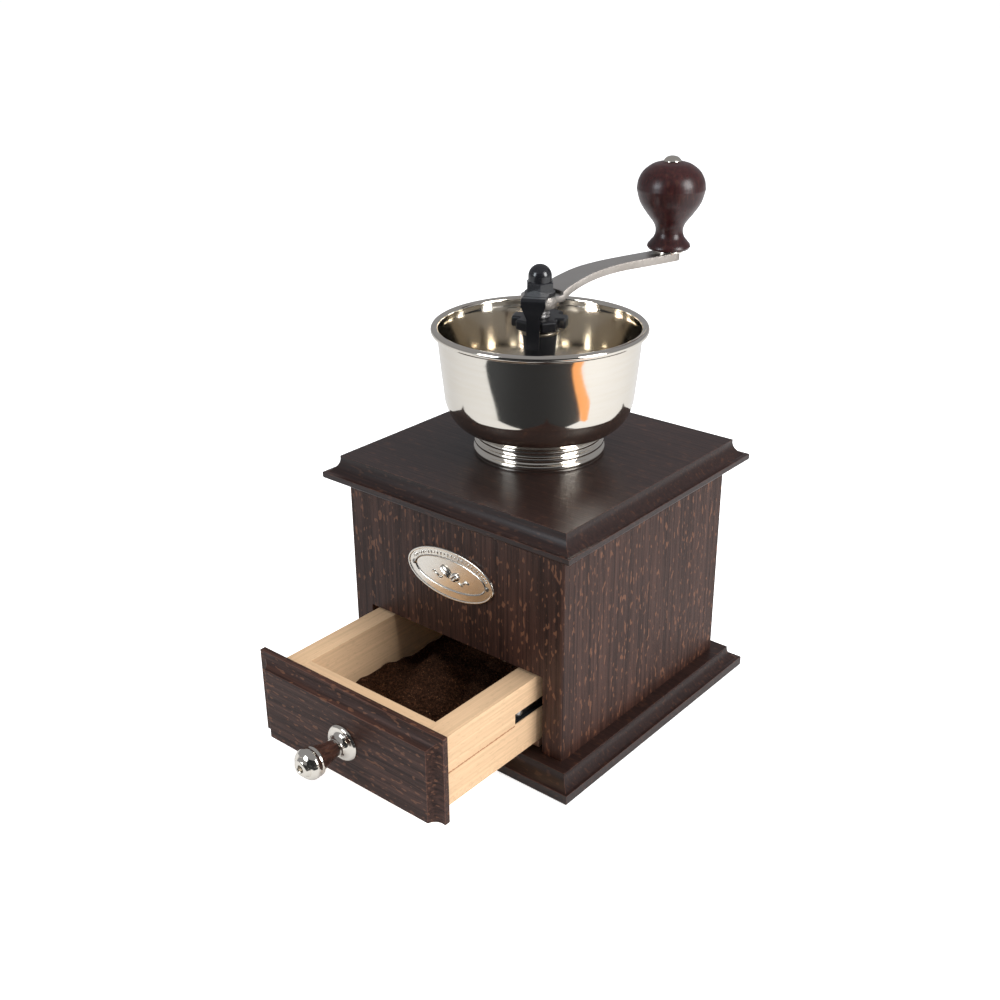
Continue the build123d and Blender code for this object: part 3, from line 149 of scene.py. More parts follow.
def copy_of(node, name):
    """A cleaned copy of a frame node's mesh, for rounding and finer finishing."""
    piece = bpy.data.objects.new(name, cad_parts[node].data.copy())
    piece.data.name = name
    bpy.context.collection.objects.link(piece)
    piece.data.materials.clear()
    tidy(piece)
    bpy.ops.object.mode_set(mode="EDIT")
    bpy.ops.mesh.select_all(action="SELECT")
    bpy.ops.mesh.dissolve_limited(angle_limit=radians(0.4))
    bpy.ops.object.mode_set(mode="OBJECT")
    return piece


def eased(node, name, width, *materials, angle=28):
    """A node's shape with its arrises rounded; a second material goes on the rounded faces."""
    piece = dress(copy_of(node, name), *materials)
    bevelled(piece, width, 2, angle, 1 if len(materials) > 1 else None)
    smooth(piece, 32, weighted=True)
    return piece


def curve_through(points, steps=8):
    """Points along a smooth curve through the given (radius, height) points."""
    ends = [2 * Vector(points[0]) - Vector(points[1])] + [Vector(p) for p in points]
    ends.append(2 * Vector(points[-1]) - Vector(points[-2]))
    run = []
    for a, b, c, d in zip(ends, ends[1:], ends[2:], ends[3:]):
        for k in range(steps):
            t = k / steps
            run.append(0.5 * (2 * b + (c - a) * t + (2 * a - 5 * b + 4 * c - d) * t ** 2
                              + (3 * b - a - 3 * c + d) * t ** 3))
    return run + [ends[-2]]


def arc(centre, radius, start, end, steps=10):
    """Points on a circular arc in the (radius, height) plane, angles in degrees."""
    turns = [radians(start + (end - start) * k / steps) for k in range(steps + 1)]
    return [Vector((centre[0] + radius * cos(t), centre[1] + radius * sin(t))) for t in turns]


def turned(name, outline, foot, along, steps):
    """Spins a closed outline of (radius, height) points round an axis that starts at foot."""
    clear_selection()
    bpy.ops.mesh.primitive_circle_add(vertices=len(outline), radius=0.01)
    piece = named(name)
    along = Vector(along).normalized()
    out = along.orthogonal().normalized()
    for vertex, (radius, height) in zip(piece.data.vertices, outline):
        vertex.co = Vector(foot) + out * radius + along * height
    bpy.ops.object.mode_set(mode="EDIT")
    bpy.ops.mesh.select_all(action="SELECT")
    bpy.ops.mesh.spin(steps=steps, angle=2 * pi, center=foot, axis=along)
    bpy.ops.object.mode_set(mode="OBJECT")
    tidy(piece, 2e-6)
    return piece


def joined(name, *pieces):
    """Several meshes made one piece."""
    clear_selection()
    for piece in pieces:
        piece.select_set(True)
    bpy.context.view_layer.objects.active = pieces[0]
    bpy.ops.object.join()
    return named(name)


# ---- Shader helpers ----

def put(tree, kind, values=None, **settings):
    """Adds a node; values are numbers or sockets for its inputs, settings are its options."""
    node = tree.nodes.new("ShaderNode" + kind)
    for key, value in settings.items():
        setattr(node, key, value)
    for key, value in (values or {}).items():
        if isinstance(value, bpy.types.NodeSocket):
            tree.links.new(value, node.inputs[key])
        else:
            node.inputs[key].default_value = value
    return node


def noise(tree, vector, scale, detail=3.0, rough=0.5):
    values = {"Vector": vector, "Scale": scale, "Detail": detail, "Roughness": rough}
    return put(tree, "TexNoise", values).outputs["Fac"]


def stretch(tree, vector, scale, turn=(0, 0, 0)):
    return put(tree, "Mapping", {"Vector": vector, "Scale": scale, "Rotation": turn}).outputs["Vector"]


def span(tree, value, low, high, to_low=0.0, to_high=1.0):
    return put(tree, "MapRange", {"Value": value, "From Min": low, "From Max": high,
                                  "To Min": to_low, "To Max": to_high}).outputs["Result"]


def mixed(tree, factor, first, second, how="MIX"):
    return put(tree, "Mix", {0: factor, 6: first, 7: second}, data_type="RGBA", blend_type=how).outputs[2]


def calc(tree, operation, first, second):
    return put(tree, "Math", {0: first, 1: second}, operation=operation).outputs[0]


def rgba(colour):
    return (colour[0], colour[1], colour[2], 1.0)


def effect(name, inputs, outputs):
    """A new node group with these sockets; returns it with its input and output nodes."""
    group = bpy.data.node_groups.new(name, "ShaderNodeTree")
    kinds = {"v": "NodeSocketVector", "c": "NodeSocketColor", "f": "NodeSocketFloat"}
    for label, kind in inputs:
        group.interface.new_socket(label, in_out="INPUT", socket_type=kinds[kind])
    for label, kind in outputs:
        group.interface.new_socket(label, in_out="OUTPUT", socket_type=kinds[kind])
    return group, group.nodes.new("NodeGroupInput").outputs, group.nodes.new("NodeGroupOutput").inputs


def wood_effect():
    """Fibres, bands, pores and ray flecks that run along the Z of the incoming vector."""
    if "Wood figure" in bpy.data.node_groups:
        return bpy.data.node_groups["Wood figure"]
    group, given, out = effect(
        "Wood figure",
        (("Vector", "v"), ("Dark", "c"), ("Light", "c"), ("Fleck", "c"), ("Fibre scale", "f"),
         ("Fleck amount", "f"), ("Fleck scale", "f"), ("Pore depth", "f"), ("Roughness", "f")),
        (("Color", "c"), ("Roughness", "f"), ("Height", "f")),
    )
    vector = given["Vector"]
    fibres = noise(group, stretch(group, vector, (1, 1, 0.02)), given["Fibre scale"], 5, 0.62)
    bands = noise(group, stretch(group, vector, (1, 1, 0.1)), 60.0, 3)
    pores = noise(group, stretch(group, vector, (1, 1, 0.045), (0, radians(1.5), 0)), 2300.0, 2)
    flecks = noise(group, stretch(group, vector, (1, 1, 0.36), (radians(14), radians(16), 0)),
                   given["Fleck scale"], 1.2, 0.4)
    fibre_mask = span(group, fibres, 0.36, 0.64)
    pore_mask = calc(group, "MULTIPLY", span(group, pores, 0.6, 0.7), given["Pore depth"])
    fleck_mask = calc(group, "MULTIPLY", span(group, flecks, 0.625, 0.675), given["Fleck amount"])
    colour = mixed(group, fibre_mask, given["Dark"], given["Light"])
    colour = mixed(group, span(group, bands, 0.35, 0.7, 0.0, 0.3), colour, given["Dark"])
    colour = mixed(group, fleck_mask, colour, given["Fleck"])
    colour = mixed(group, calc(group, "MULTIPLY", pore_mask, 0.75), colour, (0.006, 0.004, 0.004, 1))
    height = calc(group, "SUBTRACT", calc(group, "MULTIPLY", fibre_mask, 0.45), pore_mask)
    rough = calc(group, "ADD", given["Roughness"], span(group, fibres, 0.3, 0.7, 0.06, -0.04))
    for socket, target in ((colour, "Color"), (rough, "Roughness"), (height, "Height")):
        group.links.new(socket, out[target])
    return group


def metal_effect():
    """Fine lines along one direction, cloudy polish and a slightly uneven surface."""
    if "Metal surface" in bpy.data.node_groups:
        return bpy.data.node_groups["Metal surface"]
    group, given, out = effect(
        "Metal surface",
        (("Vector", "v"), ("Tint", "c"), ("Tarnish", "c"), ("Roughness", "f"), ("Grain scale", "f"),
         ("Grain depth", "f"), ("Cloud", "f")),
        (("Color", "c"), ("Roughness", "f"), ("Height", "f")),
    )
    vector = given["Vector"]
    lines = noise(group, vector, given["Grain scale"], 3, 0.6)
    clouds = noise(group, vector, 42.0, 4, 0.6)
    specks = noise(group, vector, 1300.0, 2)
    colour = mixed(group, span(group, clouds, 0.4, 0.75, 0.0, 0.55), given["Tint"], given["Tarnish"])
    rough = calc(group, "ADD", given["Roughness"],
                 calc(group, "MULTIPLY", span(group, clouds, 0.3, 0.75), given["Cloud"]))
    rough = calc(group, "ADD", rough, calc(group, "MULTIPLY", span(group, lines, 0.35, 0.7), given["Cloud"]))
    height = calc(group, "ADD", calc(group, "MULTIPLY", lines, given["Grain depth"]),
                  calc(group, "MULTIPLY", specks, calc(group, "MULTIPLY", given["Grain depth"], 0.3)))
    for socket, target in ((colour, "Color"), (rough, "Roughness"), (height, "Height")):
        group.links.new(socket, out[target])
    return group


def start_material(name):
    """A new material, with its tree, its shader and the object's own coordinates."""
    material = bpy.data.materials.new(name)
    material.use_nodes = True
    tree = material.node_tree
    coords = put(tree, "TexCoord").outputs["Object"]
    return material, tree, tree.nodes["Principled BSDF"], coords


def wire_up(tree, surface, shader, depth, distance):
    """Feeds an effect's colour, roughness and height to the shader."""
    bump = put(tree, "Bump", {"Strength": depth, "Distance": distance, "Height": surface["Height"]})
    tree.links.new(surface["Color"], shader.inputs["Base Color"])
    tree.links.new(surface["Roughness"], shader.inputs["Roughness"])
    tree.links.new(bump.outputs["Normal"], shader.inputs["Normal"])


def wood(name, turn, dark, light, fleck, rough=0.45, coat=0.06, fibre=900.0, fleck_amount=0.42,
         fleck_scale=760.0, pores=0.55, depth=0.35, shift=(0, 0, 0)):
    """Wood with its grain turned to run as asked."""
    if name in bpy.data.materials:
        return bpy.data.materials[name]
    material, tree, shader, coords = start_material(name)
    placed = put(tree, "Mapping", {"Vector": coords, "Rotation": turn, "Location": shift}).outputs["Vector"]
    group = put(tree, "Group", node_tree=wood_effect())
    for key, value in (("Dark", rgba(dark)), ("Light", rgba(light)), ("Fleck", rgba(fleck)),
                       ("Fibre scale", fibre), ("Fleck amount", fleck_amount),
                       ("Fleck scale", fleck_scale), ("Pore depth", pores), ("Roughness", rough)):
        group.inputs[key].default_value = value
    tree.links.new(placed, group.inputs["Vector"])
    wire_up(tree, group.outputs, shader, depth, 0.0003)
    shader.inputs["Specular IOR Level"].default_value = 0.22
    shader.inputs["Coat Weight"].default_value = coat
    shader.inputs["Coat Roughness"].default_value = 0.3
    return material


def metal(name, tint, tarnish, rough, stretch_by=(1, 1, 1), grain=500.0, grain_depth=0.3, cloud=0.05,
          depth=0.1, metallic=1.0, coat=0.0):
    """Metal, plated, brushed, cast or painted."""
    if name in bpy.data.materials:
        return bpy.data.materials[name]
    material, tree, shader, coords = start_material(name)
    placed = put(tree, "Mapping", {"Vector": coords, "Scale": stretch_by}).outputs["Vector"]
    group = put(tree, "Group", node_tree=metal_effect())
    for key, value in (("Tint", rgba(tint)), ("Tarnish", rgba(tarnish)), ("Roughness", rough),
                       ("Grain scale", grain), ("Grain depth", grain_depth), ("Cloud", cloud)):
        group.inputs[key].default_value = value
    tree.links.new(placed, group.inputs["Vector"])
    wire_up(tree, group.outputs, shader, depth, 0.0002)
    shader.inputs["Metallic"].default_value = metallic
    shader.inputs["Coat Weight"].default_value = coat
    shader.inputs["Coat Roughness"].default_value = 0.1
    return material


def stained(name, turn, **changes):
    """The case's dark stained wood, in the colours of the finish settings."""
    finish = bpy.context.scene.mill_finish
    values = {"dark": finish.stain_dark, "light": finish.stain_light, "fleck": finish.stain_fleck}
    values.update(changes)
    return wood(name, turn, **values)


def arris_highlight_stain(name, turn):
    """Lighter stain on the rounded arrises: a painted highlight along the edges."""
    light = tuple(min(1.0, c * 1.9) for c in bpy.context.scene.mill_finish.stain_light)
    return stained(name, turn, dark=bpy.context.scene.mill_finish.stain_light, light=light,
                   fleck_amount=0.2, rough=0.36)


def raw_wood(name, turn, shift=(0, 0, 0)):
    """Pale unfinished beech."""
    finish = bpy.context.scene.mill_finish
    dark = tuple(c * 0.8 for c in finish.beech)
    return wood(name, turn, dark, finish.beech, tuple(c * 0.62 for c in finish.beech), rough=0.62, coat=0.0,
                fibre=700.0, fleck_amount=0.28, fleck_scale=1100.0, pores=0.06, depth=0.2, shift=shift)


def seam_and_shade_band(material, colour, low, high, ragged=0.0):
    """Paints a colour over what lies between two corners, on both sides of the middle, for a real seam and
    for painted shade; ragged roughens its edge.
    """
    tree = material.node_tree
    shader = tree.nodes["Principled BSDF"]
    coords = put(tree, "TexCoord").outputs["Object"]
    parts = put(tree, "SeparateXYZ", {"Vector": coords}).outputs
    wave = span(tree, noise(tree, coords, 1400.0), 0.2, 0.8, -ragged, ragged)
    places = (calc(tree, "ABSOLUTE", parts["X"], 0.0), parts["Y"], calc(tree, "ADD", parts["Z"], wave))
    mask = 1.0
    for place, start, end in zip(places, low, high):
        near = put(tree, "Math", {0: place, 1: (start + end) / 2, 2: (end - start) / 2}, operation="COMPARE")
        mask = calc(tree, "MULTIPLY", near.outputs[0], mask)
    plain_wood = shader.inputs["Base Color"].links[0].from_socket
    tree.links.new(mixed(tree, mask, plain_wood, rgba(colour)), shader.inputs["Base Color"])
    return material


def nickel(name, rough=0.07, stretch_by=(1, 1, 1), grain=500.0, grain_depth=0.15, cloud=0.03, depth=0.05):
    """Polished nickel plate."""
    tint = bpy.context.scene.mill_finish.nickel
    return metal(name, tint, tuple(c * f for c, f in zip(tint, (0.95, 0.92, 0.86))), rough, stretch_by,
                 grain, grain_depth, cloud, depth)


def black(name, rough=0.32, metallic=0.0):
    """Black coated metal with a fine uneven skin."""
    tint = bpy.context.scene.mill_finish.black
    return metal(name, tint, tuple(c * 1.8 for c in tint), rough, grain=900.0, grain_depth=0.5, cloud=0.08,
                 depth=0.12, metallic=metallic, coat=0.35)


def steel(name, tint=(0.55, 0.54, 0.52), rough=0.28):
    """Plain bright steel."""
    return metal(name, tint, tuple(c * 0.8 for c in tint), rough, (1, 1, 6), 700.0, 0.4, 0.08, 0.15)


# ---- Settings ----

class MillFinish(bpy.types.PropertyGroup):
    """Colours and small sizes that a user may want to change."""

    stain_dark: bpy.props.FloatVectorProperty(
        name="Dark stain", description="Darkest colour of the stained wood", subtype="COLOR",
        default=(0.020, 0.0082, 0.0058), min=0, max=1)
    stain_light: bpy.props.FloatVectorProperty(
        name="Light stain", description="Lightest colour of the stained wood", subtype="COLOR",
        default=(0.068, 0.030, 0.021), min=0, max=1)
    stain_fleck: bpy.props.FloatVectorProperty(
        name="Ray flecks", description="Colour of the flecks in the stained wood", subtype="COLOR",
        default=(0.27, 0.115, 0.060), min=0, max=1)
    beech: bpy.props.FloatVectorProperty(
        name="Raw beech", description="Colour of the drawer's unfinished wood", subtype="COLOR",
        default=(0.74, 0.50, 0.30), min=0, max=1)
    nickel: bpy.props.FloatVectorProperty(
        name="Nickel", description="Tint of the nickel plating", subtype="COLOR",
        default=(0.86, 0.81, 0.73), min=0, max=1)
    black: bpy.props.FloatVectorProperty(
        name="Black metal", description="Colour of the black coated pieces", subtype="COLOR",
        default=(0.010, 0.010, 0.012), min=0, max=1)
    coffee: bpy.props.FloatVectorProperty(
        name="Coffee", description="Colour of the ground coffee", subtype="COLOR",
        default=(0.040, 0.016, 0.0075), min=0, max=1)
    easing: bpy.props.FloatProperty(
        name="Easing", description="How far the wood's arrises are rounded", default=0.45 * MM,
        min=0.0, max=2 * MM, unit="LENGTH")
    grains: bpy.props.IntProperty(
        name="Coffee grains", description="Loose grains on the heap of coffee", default=2600, min=0, max=6000)
    beads: bpy.props.IntProperty(
        name="Badge beads", description="Raised beads round the badge", default=34, min=8, max=80)


# ---- Case ----

class MILL_OT_case(bpy.types.Operator):
    """Finishes the wooden case: boards with eased mouldings, walls, runners and their screws"""

    bl_idname = "mill.case"
    bl_label = "Finish the case"

    def execute(self, context):
        ease = context.scene.mill_finish.easing
        glossy = {"rough": 0.34, "coat": 0.3, "fleck_amount": 0.1, "pores": 0.35, "depth": 0.1,
                  "fibre": 1200.0, "dark": (0.013, 0.0068, 0.006), "light": (0.030, 0.0148, 0.012)}
        for node, name, shift in (("base_board", "moulded_base", (0, 0, 0)),
                                  ("top_board", "moulded_top", (0.3, 0, 0))):
            # The rounded arrises get a lighter stain, a painted highlight along the board's edges.
            board = eased(node, name, ease, stained(name + "_stain", GRAIN_X, shift=shift, **glossy),
                          arris_highlight_stain("rubbed_stain_x", GRAIN_X))
            seat(board, "mill", "moulding_wood", node)
        for node, shift in (("front_wall", (0, 0, 0)), ("back_wall", (0.2, 0, 0)), ("left_wall", (0, 0.2, 0)),
                            ("right_wall", (0, 0.4, 0))):
            dress(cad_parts[node], stained(node + "_stain", GRAIN_UP, shift=shift))
        runner = wood("runner_wood", GRAIN_Y, (0.14, 0.06, 0.035), (0.30, 0.15, 0.09), (0.4, 0.22, 0.12),
                      rough=0.55, coat=0.0, pores=0.3)
        for node in ("left_runner", "right_runner"):
            seat(eased(node, node + "_strip", 0.3 * MM, runner), "mill", "runner_wood", node)
        dress(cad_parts["top_dowels"], raw_wood("dowel_beech", GRAIN_UP))
        dress(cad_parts["base_screws"], steel("screw_zinc"))
        return {"FINISHED"}


# ---- Badge ----

def bean(name, centre, length, turn):
    """A coffee bean lying on a plate that faces -Y: a flattened oval with a curved groove."""
    clear_selection()
    bpy.ops.mesh.primitive_uv_sphere_add(segments=32, ring_count=16, radius=length / 2, location=centre)
    piece = bpy.context.object
    piece.scale = (1.0, 0.36, 0.66)
    piece.rotation_euler = (0, turn, 0)
    groove = Matrix.Rotation(-turn, 3, "Y")
    piece = named(name)
    for vertex in piece.data.vertices:
        local = groove @ (vertex.co - Vector(centre))
        wave = 0.05 * length * sin(local.x / length * 2 * pi)
        nearness = max(0.0, 1 - abs(local.z - wave) / (0.085 * length))
        vertex.co.y += nearness * 0.09 * length
    return piece


class MILL_OT_badge(bpy.types.Operator):
    """Builds the oval badge: raised rim, beaded band, inner ring and two coffee beans on a sprig"""

    bl_idname = "mill.badge"
    bl_label = "Build the badge"

    def execute(self, context):
        low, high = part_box("badge_plate")
        centre = (low + high) / 2
        wide, tall, thick = (high.x - low.x) / 2, (high.z - low.z) / 2, (high.y - low.y) / MM
        band, ring, dish = thick - 0.4, thick - 0.05, thick - 0.5
        steps = ((0, 0), (0, thick - 0.3), (0.2, thick - 0.06), (0.5, thick), (0.85, thick - 0.1),
                 (1.05, band), (3.7, band), (3.85, ring - 0.1), (4.1, ring), (4.35, ring - 0.1),
                 (4.55, dish), (7.5, dish - 0.05))
        outline = [(wide - inset * MM, rise * MM) for inset, rise in steps] + [(0, dish * MM), (0, 0)]
        plate = turned("badge_oval", outline, (centre.x, high.y, centre.z), (0, -1, 0), 128)
        for vertex in plate.data.vertices:
            across, above = vertex.co.x - centre.x, vertex.co.z - centre.z
            radius = sqrt(across ** 2 + above ** 2)
            if radius > MM:
                vertex.co.z = centre.z + above / radius * (tall - (wide - radius))
        field = high.y - band * MM
        extras = []
        count = context.scene.mill_finish.beads
        for k in range(count):
            turn = pi * (k + 0.5) / count
            place = Vector(((wide - 2.4 * MM) * cos(turn), 0, (tall - 2.4 * MM) * sin(turn)))
            if place.z < 2.2 * MM:
                continue
            clear_selection()
            bpy.ops.mesh.primitive_uv_sphere_add(segments=12, ring_count=6, radius=0.42 * MM,
                                                 location=(place.x, field, centre.z + place.z))
            bead = bpy.context.object
            bead.scale = (1, 0.7, 2.2 if k % 3 else 1.1)
            bead.rotation_euler = (0, pi / 2 - turn, 0)
            extras.append(named("bead"))
        middle = high.y - dish * MM
        extras.append(bean("bean_left", (-2.2 * MM, middle, centre.z + 0.8 * MM), 6.4 * MM, radians(38)))
        extras.append(bean("bean_right", (2.4 * MM, middle, centre.z - 0.4 * MM), 5.8 * MM, radians(-30)))
        for side in (-1, 1):
            for step in range(3):
                clear_selection()
                spot = (side * (5.2 + 1.7 * step) * MM, middle, centre.z + (-2.6 + 0.9 * step) * MM)
                bpy.ops.mesh.primitive_uv_sphere_add(segments=16, ring_count=8, radius=1.25 * MM,
                                                     location=spot)
                leaf = bpy.context.object
                leaf.scale = (1.15, 0.35, 0.45)
                leaf.rotation_euler = (0, -side * radians(40 if step % 2 else -25), 0)
                extras.append(named("leaf"))
        badge = joined("badge_oval", plate, *extras)
        smooth(badge, 40)
        dress(badge, nickel("badge_nickel", 0.16, grain=700.0, grain_depth=0.3, cloud=0.06, depth=0.12))
        seat(badge, "mill", "nickel_trim", "badge_plate")
        dress(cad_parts["badge_nails"], metal("nail_head", (0.30, 0.28, 0.25), (0.12, 0.1, 0.09), 0.3))
        return {"FINISHED"}


# ---- Bowl ----

class MILL_OT_bowl(bpy.types.Operator):
    """Spins the bowl: ringed foot, round belly, flared wall and a rolled rim"""

    bl_idname = "mill.bowl"
    bl_label = "Spin the bowl"

    def execute(self, context):
        low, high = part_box("hopper_bowl")
        bead = 1.5
        rim = (high.x - low.x) / 2 / MM - bead
        top = (high.z - low.z) / MM - bead
        foot, neck, rise, thick, floor, mouth = 26.3, 25.4, 9.5, 1.0, 2.0, 14.6
        belly, shoulder = 37.9, 22.0
        outside = [(mouth, 0), (foot - 0.3, 0)]
        for radius, height in ((foot + 0.1, 1.55), (neck + 0.55, 4.75), (neck + 0.35, 7.9)):
            outside += arc((radius - 0.85, height), 1.3, -68, 68, 8)
        swell = curve_through([(neck, rise), (neck + 3.6, rise + 0.9), (neck + 8.2, rise + 4.0),
                               (belly - 1.5, shoulder - 4.6), (belly, shoulder)], 8)
        outside += swell
        outside += curve_through([(belly + 0.3, shoulder + 3),
                                  ((belly + rim) / 2 - 0.3, (shoulder + top) / 2),
                                  (rim - 1.0, top - 2.4)], 6)
        outside += arc((rim, top), bead, 235, 540, 24)
        outside += curve_through([(rim - bead - 0.15, top - 1.5), (rim - bead - 0.5, top - 4),
                                  ((belly + rim) / 2 - 1.35, (shoulder + top) / 2),
                                  (belly - thick + 0.2, shoulder + 3)], 6)
        outside += [point + Vector((-thick * 0.85, thick * 0.55)) for point in reversed(swell[1:])]
        outside += [(neck - thick - 0.6, rise - 0.5), (neck - thick - 0.9, floor + 1.2)]
        outside += [(neck - thick - 2.0, floor), (mouth, floor)]
        outline = [(radius * MM, height * MM) for radius, height in outside]
        bowl = turned("spun_bowl", outline, (0, 0, low.z), UP, 160)
        smooth(bowl, 50)
        dress(bowl, nickel("bowl_nickel", 0.055, (1, 1, 14), 220.0, 0.12, 0.03, 0.03))
        seat(bowl, "mill", "nickel_bowl", "hopper_bowl")
        return {"FINISHED"}


# ---- Bearing and burrs ----

class MILL_OT_bearing(bpy.types.Operator):
    """Finishes the spider with its tube, the bush, the burrs and what holds them"""

    bl_idname = "mill.bearing"
    bl_label = "Finish the bearing and burrs"

    def execute(self, context):
        cast = black("cast_black", 0.4)
        spider = eased("bearing_spider", "cast_spider", 0.35 * MM, cast)
        seat(spider, "mill", "black_metal", "bearing_spider")
        dull = steel("bush_steel", (0.42, 0.36, 0.28), 0.3)
        bush = eased("bearing_bush", "bearing_collar", 0.15 * MM, dull)
        seat(bush, "mill", "black_metal", "bearing_bush")
        iron = metal("grey_iron", (0.12, 0.12, 0.125), (0.07, 0.06, 0.055), 0.5, grain=800.0, grain_depth=0.9,
                     cloud=0.12, depth=0.4, metallic=0.8)
        burr = metal("burr_steel_dark", (0.30, 0.30, 0.31), (0.20, 0.18, 0.16), 0.34, grain=700.0,
                     grain_depth=0.6, cloud=0.1, depth=0.25)
        bright = steel("bright_steel_turned", (0.60, 0.59, 0.58), 0.24)
        zinc = steel("screw_zinc")
        blued = steel("blued_spring", (0.10, 0.10, 0.12), 0.3)
        for node, material in (("burr_housing", iron), ("lower_bridge", iron), ("outer_burr", burr),
                               ("inner_burr", burr), ("burr_nut", bright), ("thrust_washer", bright),
                               ("seat_washer", bright), ("spindle", bright), ("clamp_screws", zinc),
                               ("grub_screws", zinc), ("bridge_screws", zinc), ("return_spring", blued)):
            dress(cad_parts[node], material)
        return {"FINISHED"}


# ---- Crank ----

class MILL_OT_crank(bpy.types.Operator):
    """Finishes the crank arm, the clip with its tongue, the star wheel and the domed nut"""

    bl_idname = "mill.crank"
    bl_label = "Finish the crank"

    def execute(self, context):
        satin = metal("arm_satin", (0.74, 0.71, 0.67), (0.62, 0.58, 0.53), 0.30, grain=260.0,
                      grain_depth=0.35, cloud=0.08, depth=0.1)
        rough_cast = metal("arm_cast", (0.50, 0.46, 0.42), (0.22, 0.19, 0.16), 0.24, grain=620.0,
                           grain_depth=1.0, cloud=0.2, depth=0.75)
        arm = dress(copy_of("crank_arm", "cast_arm"), satin, rough_cast)
        bevelled(arm, 0.55 * MM, 3, 35)
        for face in arm.data.polygons:
            face.material_index = 0 if face.normal.z > 0.5 else 1
        smooth(arm, 40)
        seat(arm, "crank", "nickel_arm", "crank_arm")

        coated = black("clip_black", 0.26, 0.3)
        disc = eased("clip_disc", "clip_ring", 0.25 * MM, coated)
        seat(disc, "crank", "black_metal", "clip_disc")
        tongue = eased("clip_tongue", "clip_strap", 0.2 * MM, coated)
        seat(tongue, "tongue", "black_metal", "clip_tongue")
        star = eased("star_wheel", "cast_star", 0.3 * MM, black("star_black", 0.36, 0.4))
        seat(star, "star", "black_metal", "star_wheel")

        nut = eased("dome_nut", "nut_body", 0.18 * MM, black("nut_black", 0.18, 0.0), angle=24)
        seat(nut, "crank", "black_metal", "dome_nut")
        washer = eased("knob_washer", "knob_disc", 0.12 * MM, nickel("washer_nickel", 0.12))
        seat(washer, "crank", "bright_steel", "knob_washer")
        pin = eased("knob_pin", "knob_rivet", 0.1 * MM, nickel("pin_nickel", 0.14), angle=30)
        seat(pin, "crank", "nickel_trim", "knob_pin")
        return {"FINISHED"}


class MILL_OT_knob(bpy.types.Operator):
    """Turns the crank's wooden knob"""

    bl_idname = "mill.knob"
    bl_label = "Turn the knob"

    def execute(self, context):
        low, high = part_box("crank_knob")
        centre = (low + high) / 2
        tall, ball = (high.z - low.z) / MM, (high.x - low.x) / 2 / MM
        bore, cap = 2.25, 4.0
        profile = [(bore, 0), (6.9, 0), (8.3, 0.35), (8.9, 1.3), (8.6, 2.3), (8.0, 2.9)]
        profile += curve_through([(7.7, 3.3), (6.2, 5.2), (5.6, 7.7), (6.4, 10.6), (9.4, 14.6), (12.3, 19.0),
                                  (ball - 0.1, 0.67 * tall), (ball, 0.72 * tall),
                                  (ball - 0.55, 0.80 * tall), (0.83 * ball, 0.89 * tall),
                                  (0.58 * ball, 0.965 * tall), (cap + 0.6, tall - 0.15)], 6)
        profile += [(cap, tall), (bore, tall)]
        outline = [(r * MM, h * MM) for r, h in profile]
        knob = turned("turned_knob", outline, (centre.x, centre.y, low.z), UP, 96)
        smooth(knob, 40)
        dress(knob, stained("knob_lacquer", GRAIN_UP, dark=(0.018, 0.0045, 0.0045),
                            light=(0.042, 0.010, 0.0095), fleck_amount=0.06, rough=0.3, coat=0.5, pores=0.25,
                            depth=0.05))
        seat(knob, "knob", "turned_wood", "crank_knob")
        return {"FINISHED"}


# ---- Drawer ----

class MILL_OT_drawer(bpy.types.Operator):
    """Finishes the drawer: moulded front, raw beech box, plywood bottom and leaf springs"""

    bl_idname = "mill.drawer"
    bl_label = "Finish the drawer"

    def execute(self, context):
        ease = context.scene.mill_finish.easing
        # The rounded arrises get a lighter stain, a painted highlight along the front's edges.
        front = eased("drawer_front", "moulded_front", ease,
                      stained("front_stain", GRAIN_X, fleck_amount=0.35), arris_highlight_stain("rubbed_stain_x", GRAIN_X))
        seat(front, "drawer", "front_wood", "drawer_front")
        for node, turn, shift in (("drawer_inner_front", GRAIN_X, (0, 0, 0.1)),
                                  ("drawer_back", GRAIN_X, (0, 0, 0.3)),
                                  ("drawer_left_side", GRAIN_Y, (0.1, 0, 0)),
                                  ("drawer_right_side", GRAIN_Y, (0.5, 0, 0))):
            beech = raw_wood(node + "_beech", turn, shift)
            if turn == GRAIN_Y:
                low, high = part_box("right_leaf_spring")
                face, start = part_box("drawer_right_side")[1].x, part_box(node)[0].y
                seam = low.z - 0.75 * MM
                # Painted shade: a near-black patch in the side board round the leaf spring's slot, where the
                # slot lies in shade.
                seam_and_shade_band(beech, (0.012, 0.012, 0.014), (face - 3.2 * MM, low.y - 0.8 * MM, low.z - 0.9 * MM),
                       (face - 0.35 * MM, high.y + 2 * MM, high.z + 0.9 * MM))
                # A real glue seam along the side, reddish brown.
                seam_and_shade_band(beech, (0.34, 0.15, 0.07), (face - 0.3 * MM, start + 3 * MM, seam - 0.28 * MM),
                       (face + MM, low.y - MM, seam + 0.28 * MM), 0.25 * MM)
            board = eased(node, node + "_board", 0.35 * MM, beech)
            seat(board, "drawer", "pale_wood", node)
        ply = eased("drawer_bottom", "drawer_floor", 0.15 * MM, raw_wood("plywood_face", GRAIN_X))
        seat(ply, "drawer", "plywood", "drawer_bottom")
        spring = steel("leaf_spring_steel", (0.16, 0.155, 0.15), 0.25)
        for node in ("left_leaf_spring", "right_leaf_spring"):
            dress(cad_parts[node], spring)
        for node in ("leaf_screws", "drawer_front_screws", "pull_screw"):
            dress(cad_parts[node], steel("screw_zinc"))
        return {"FINISHED"}


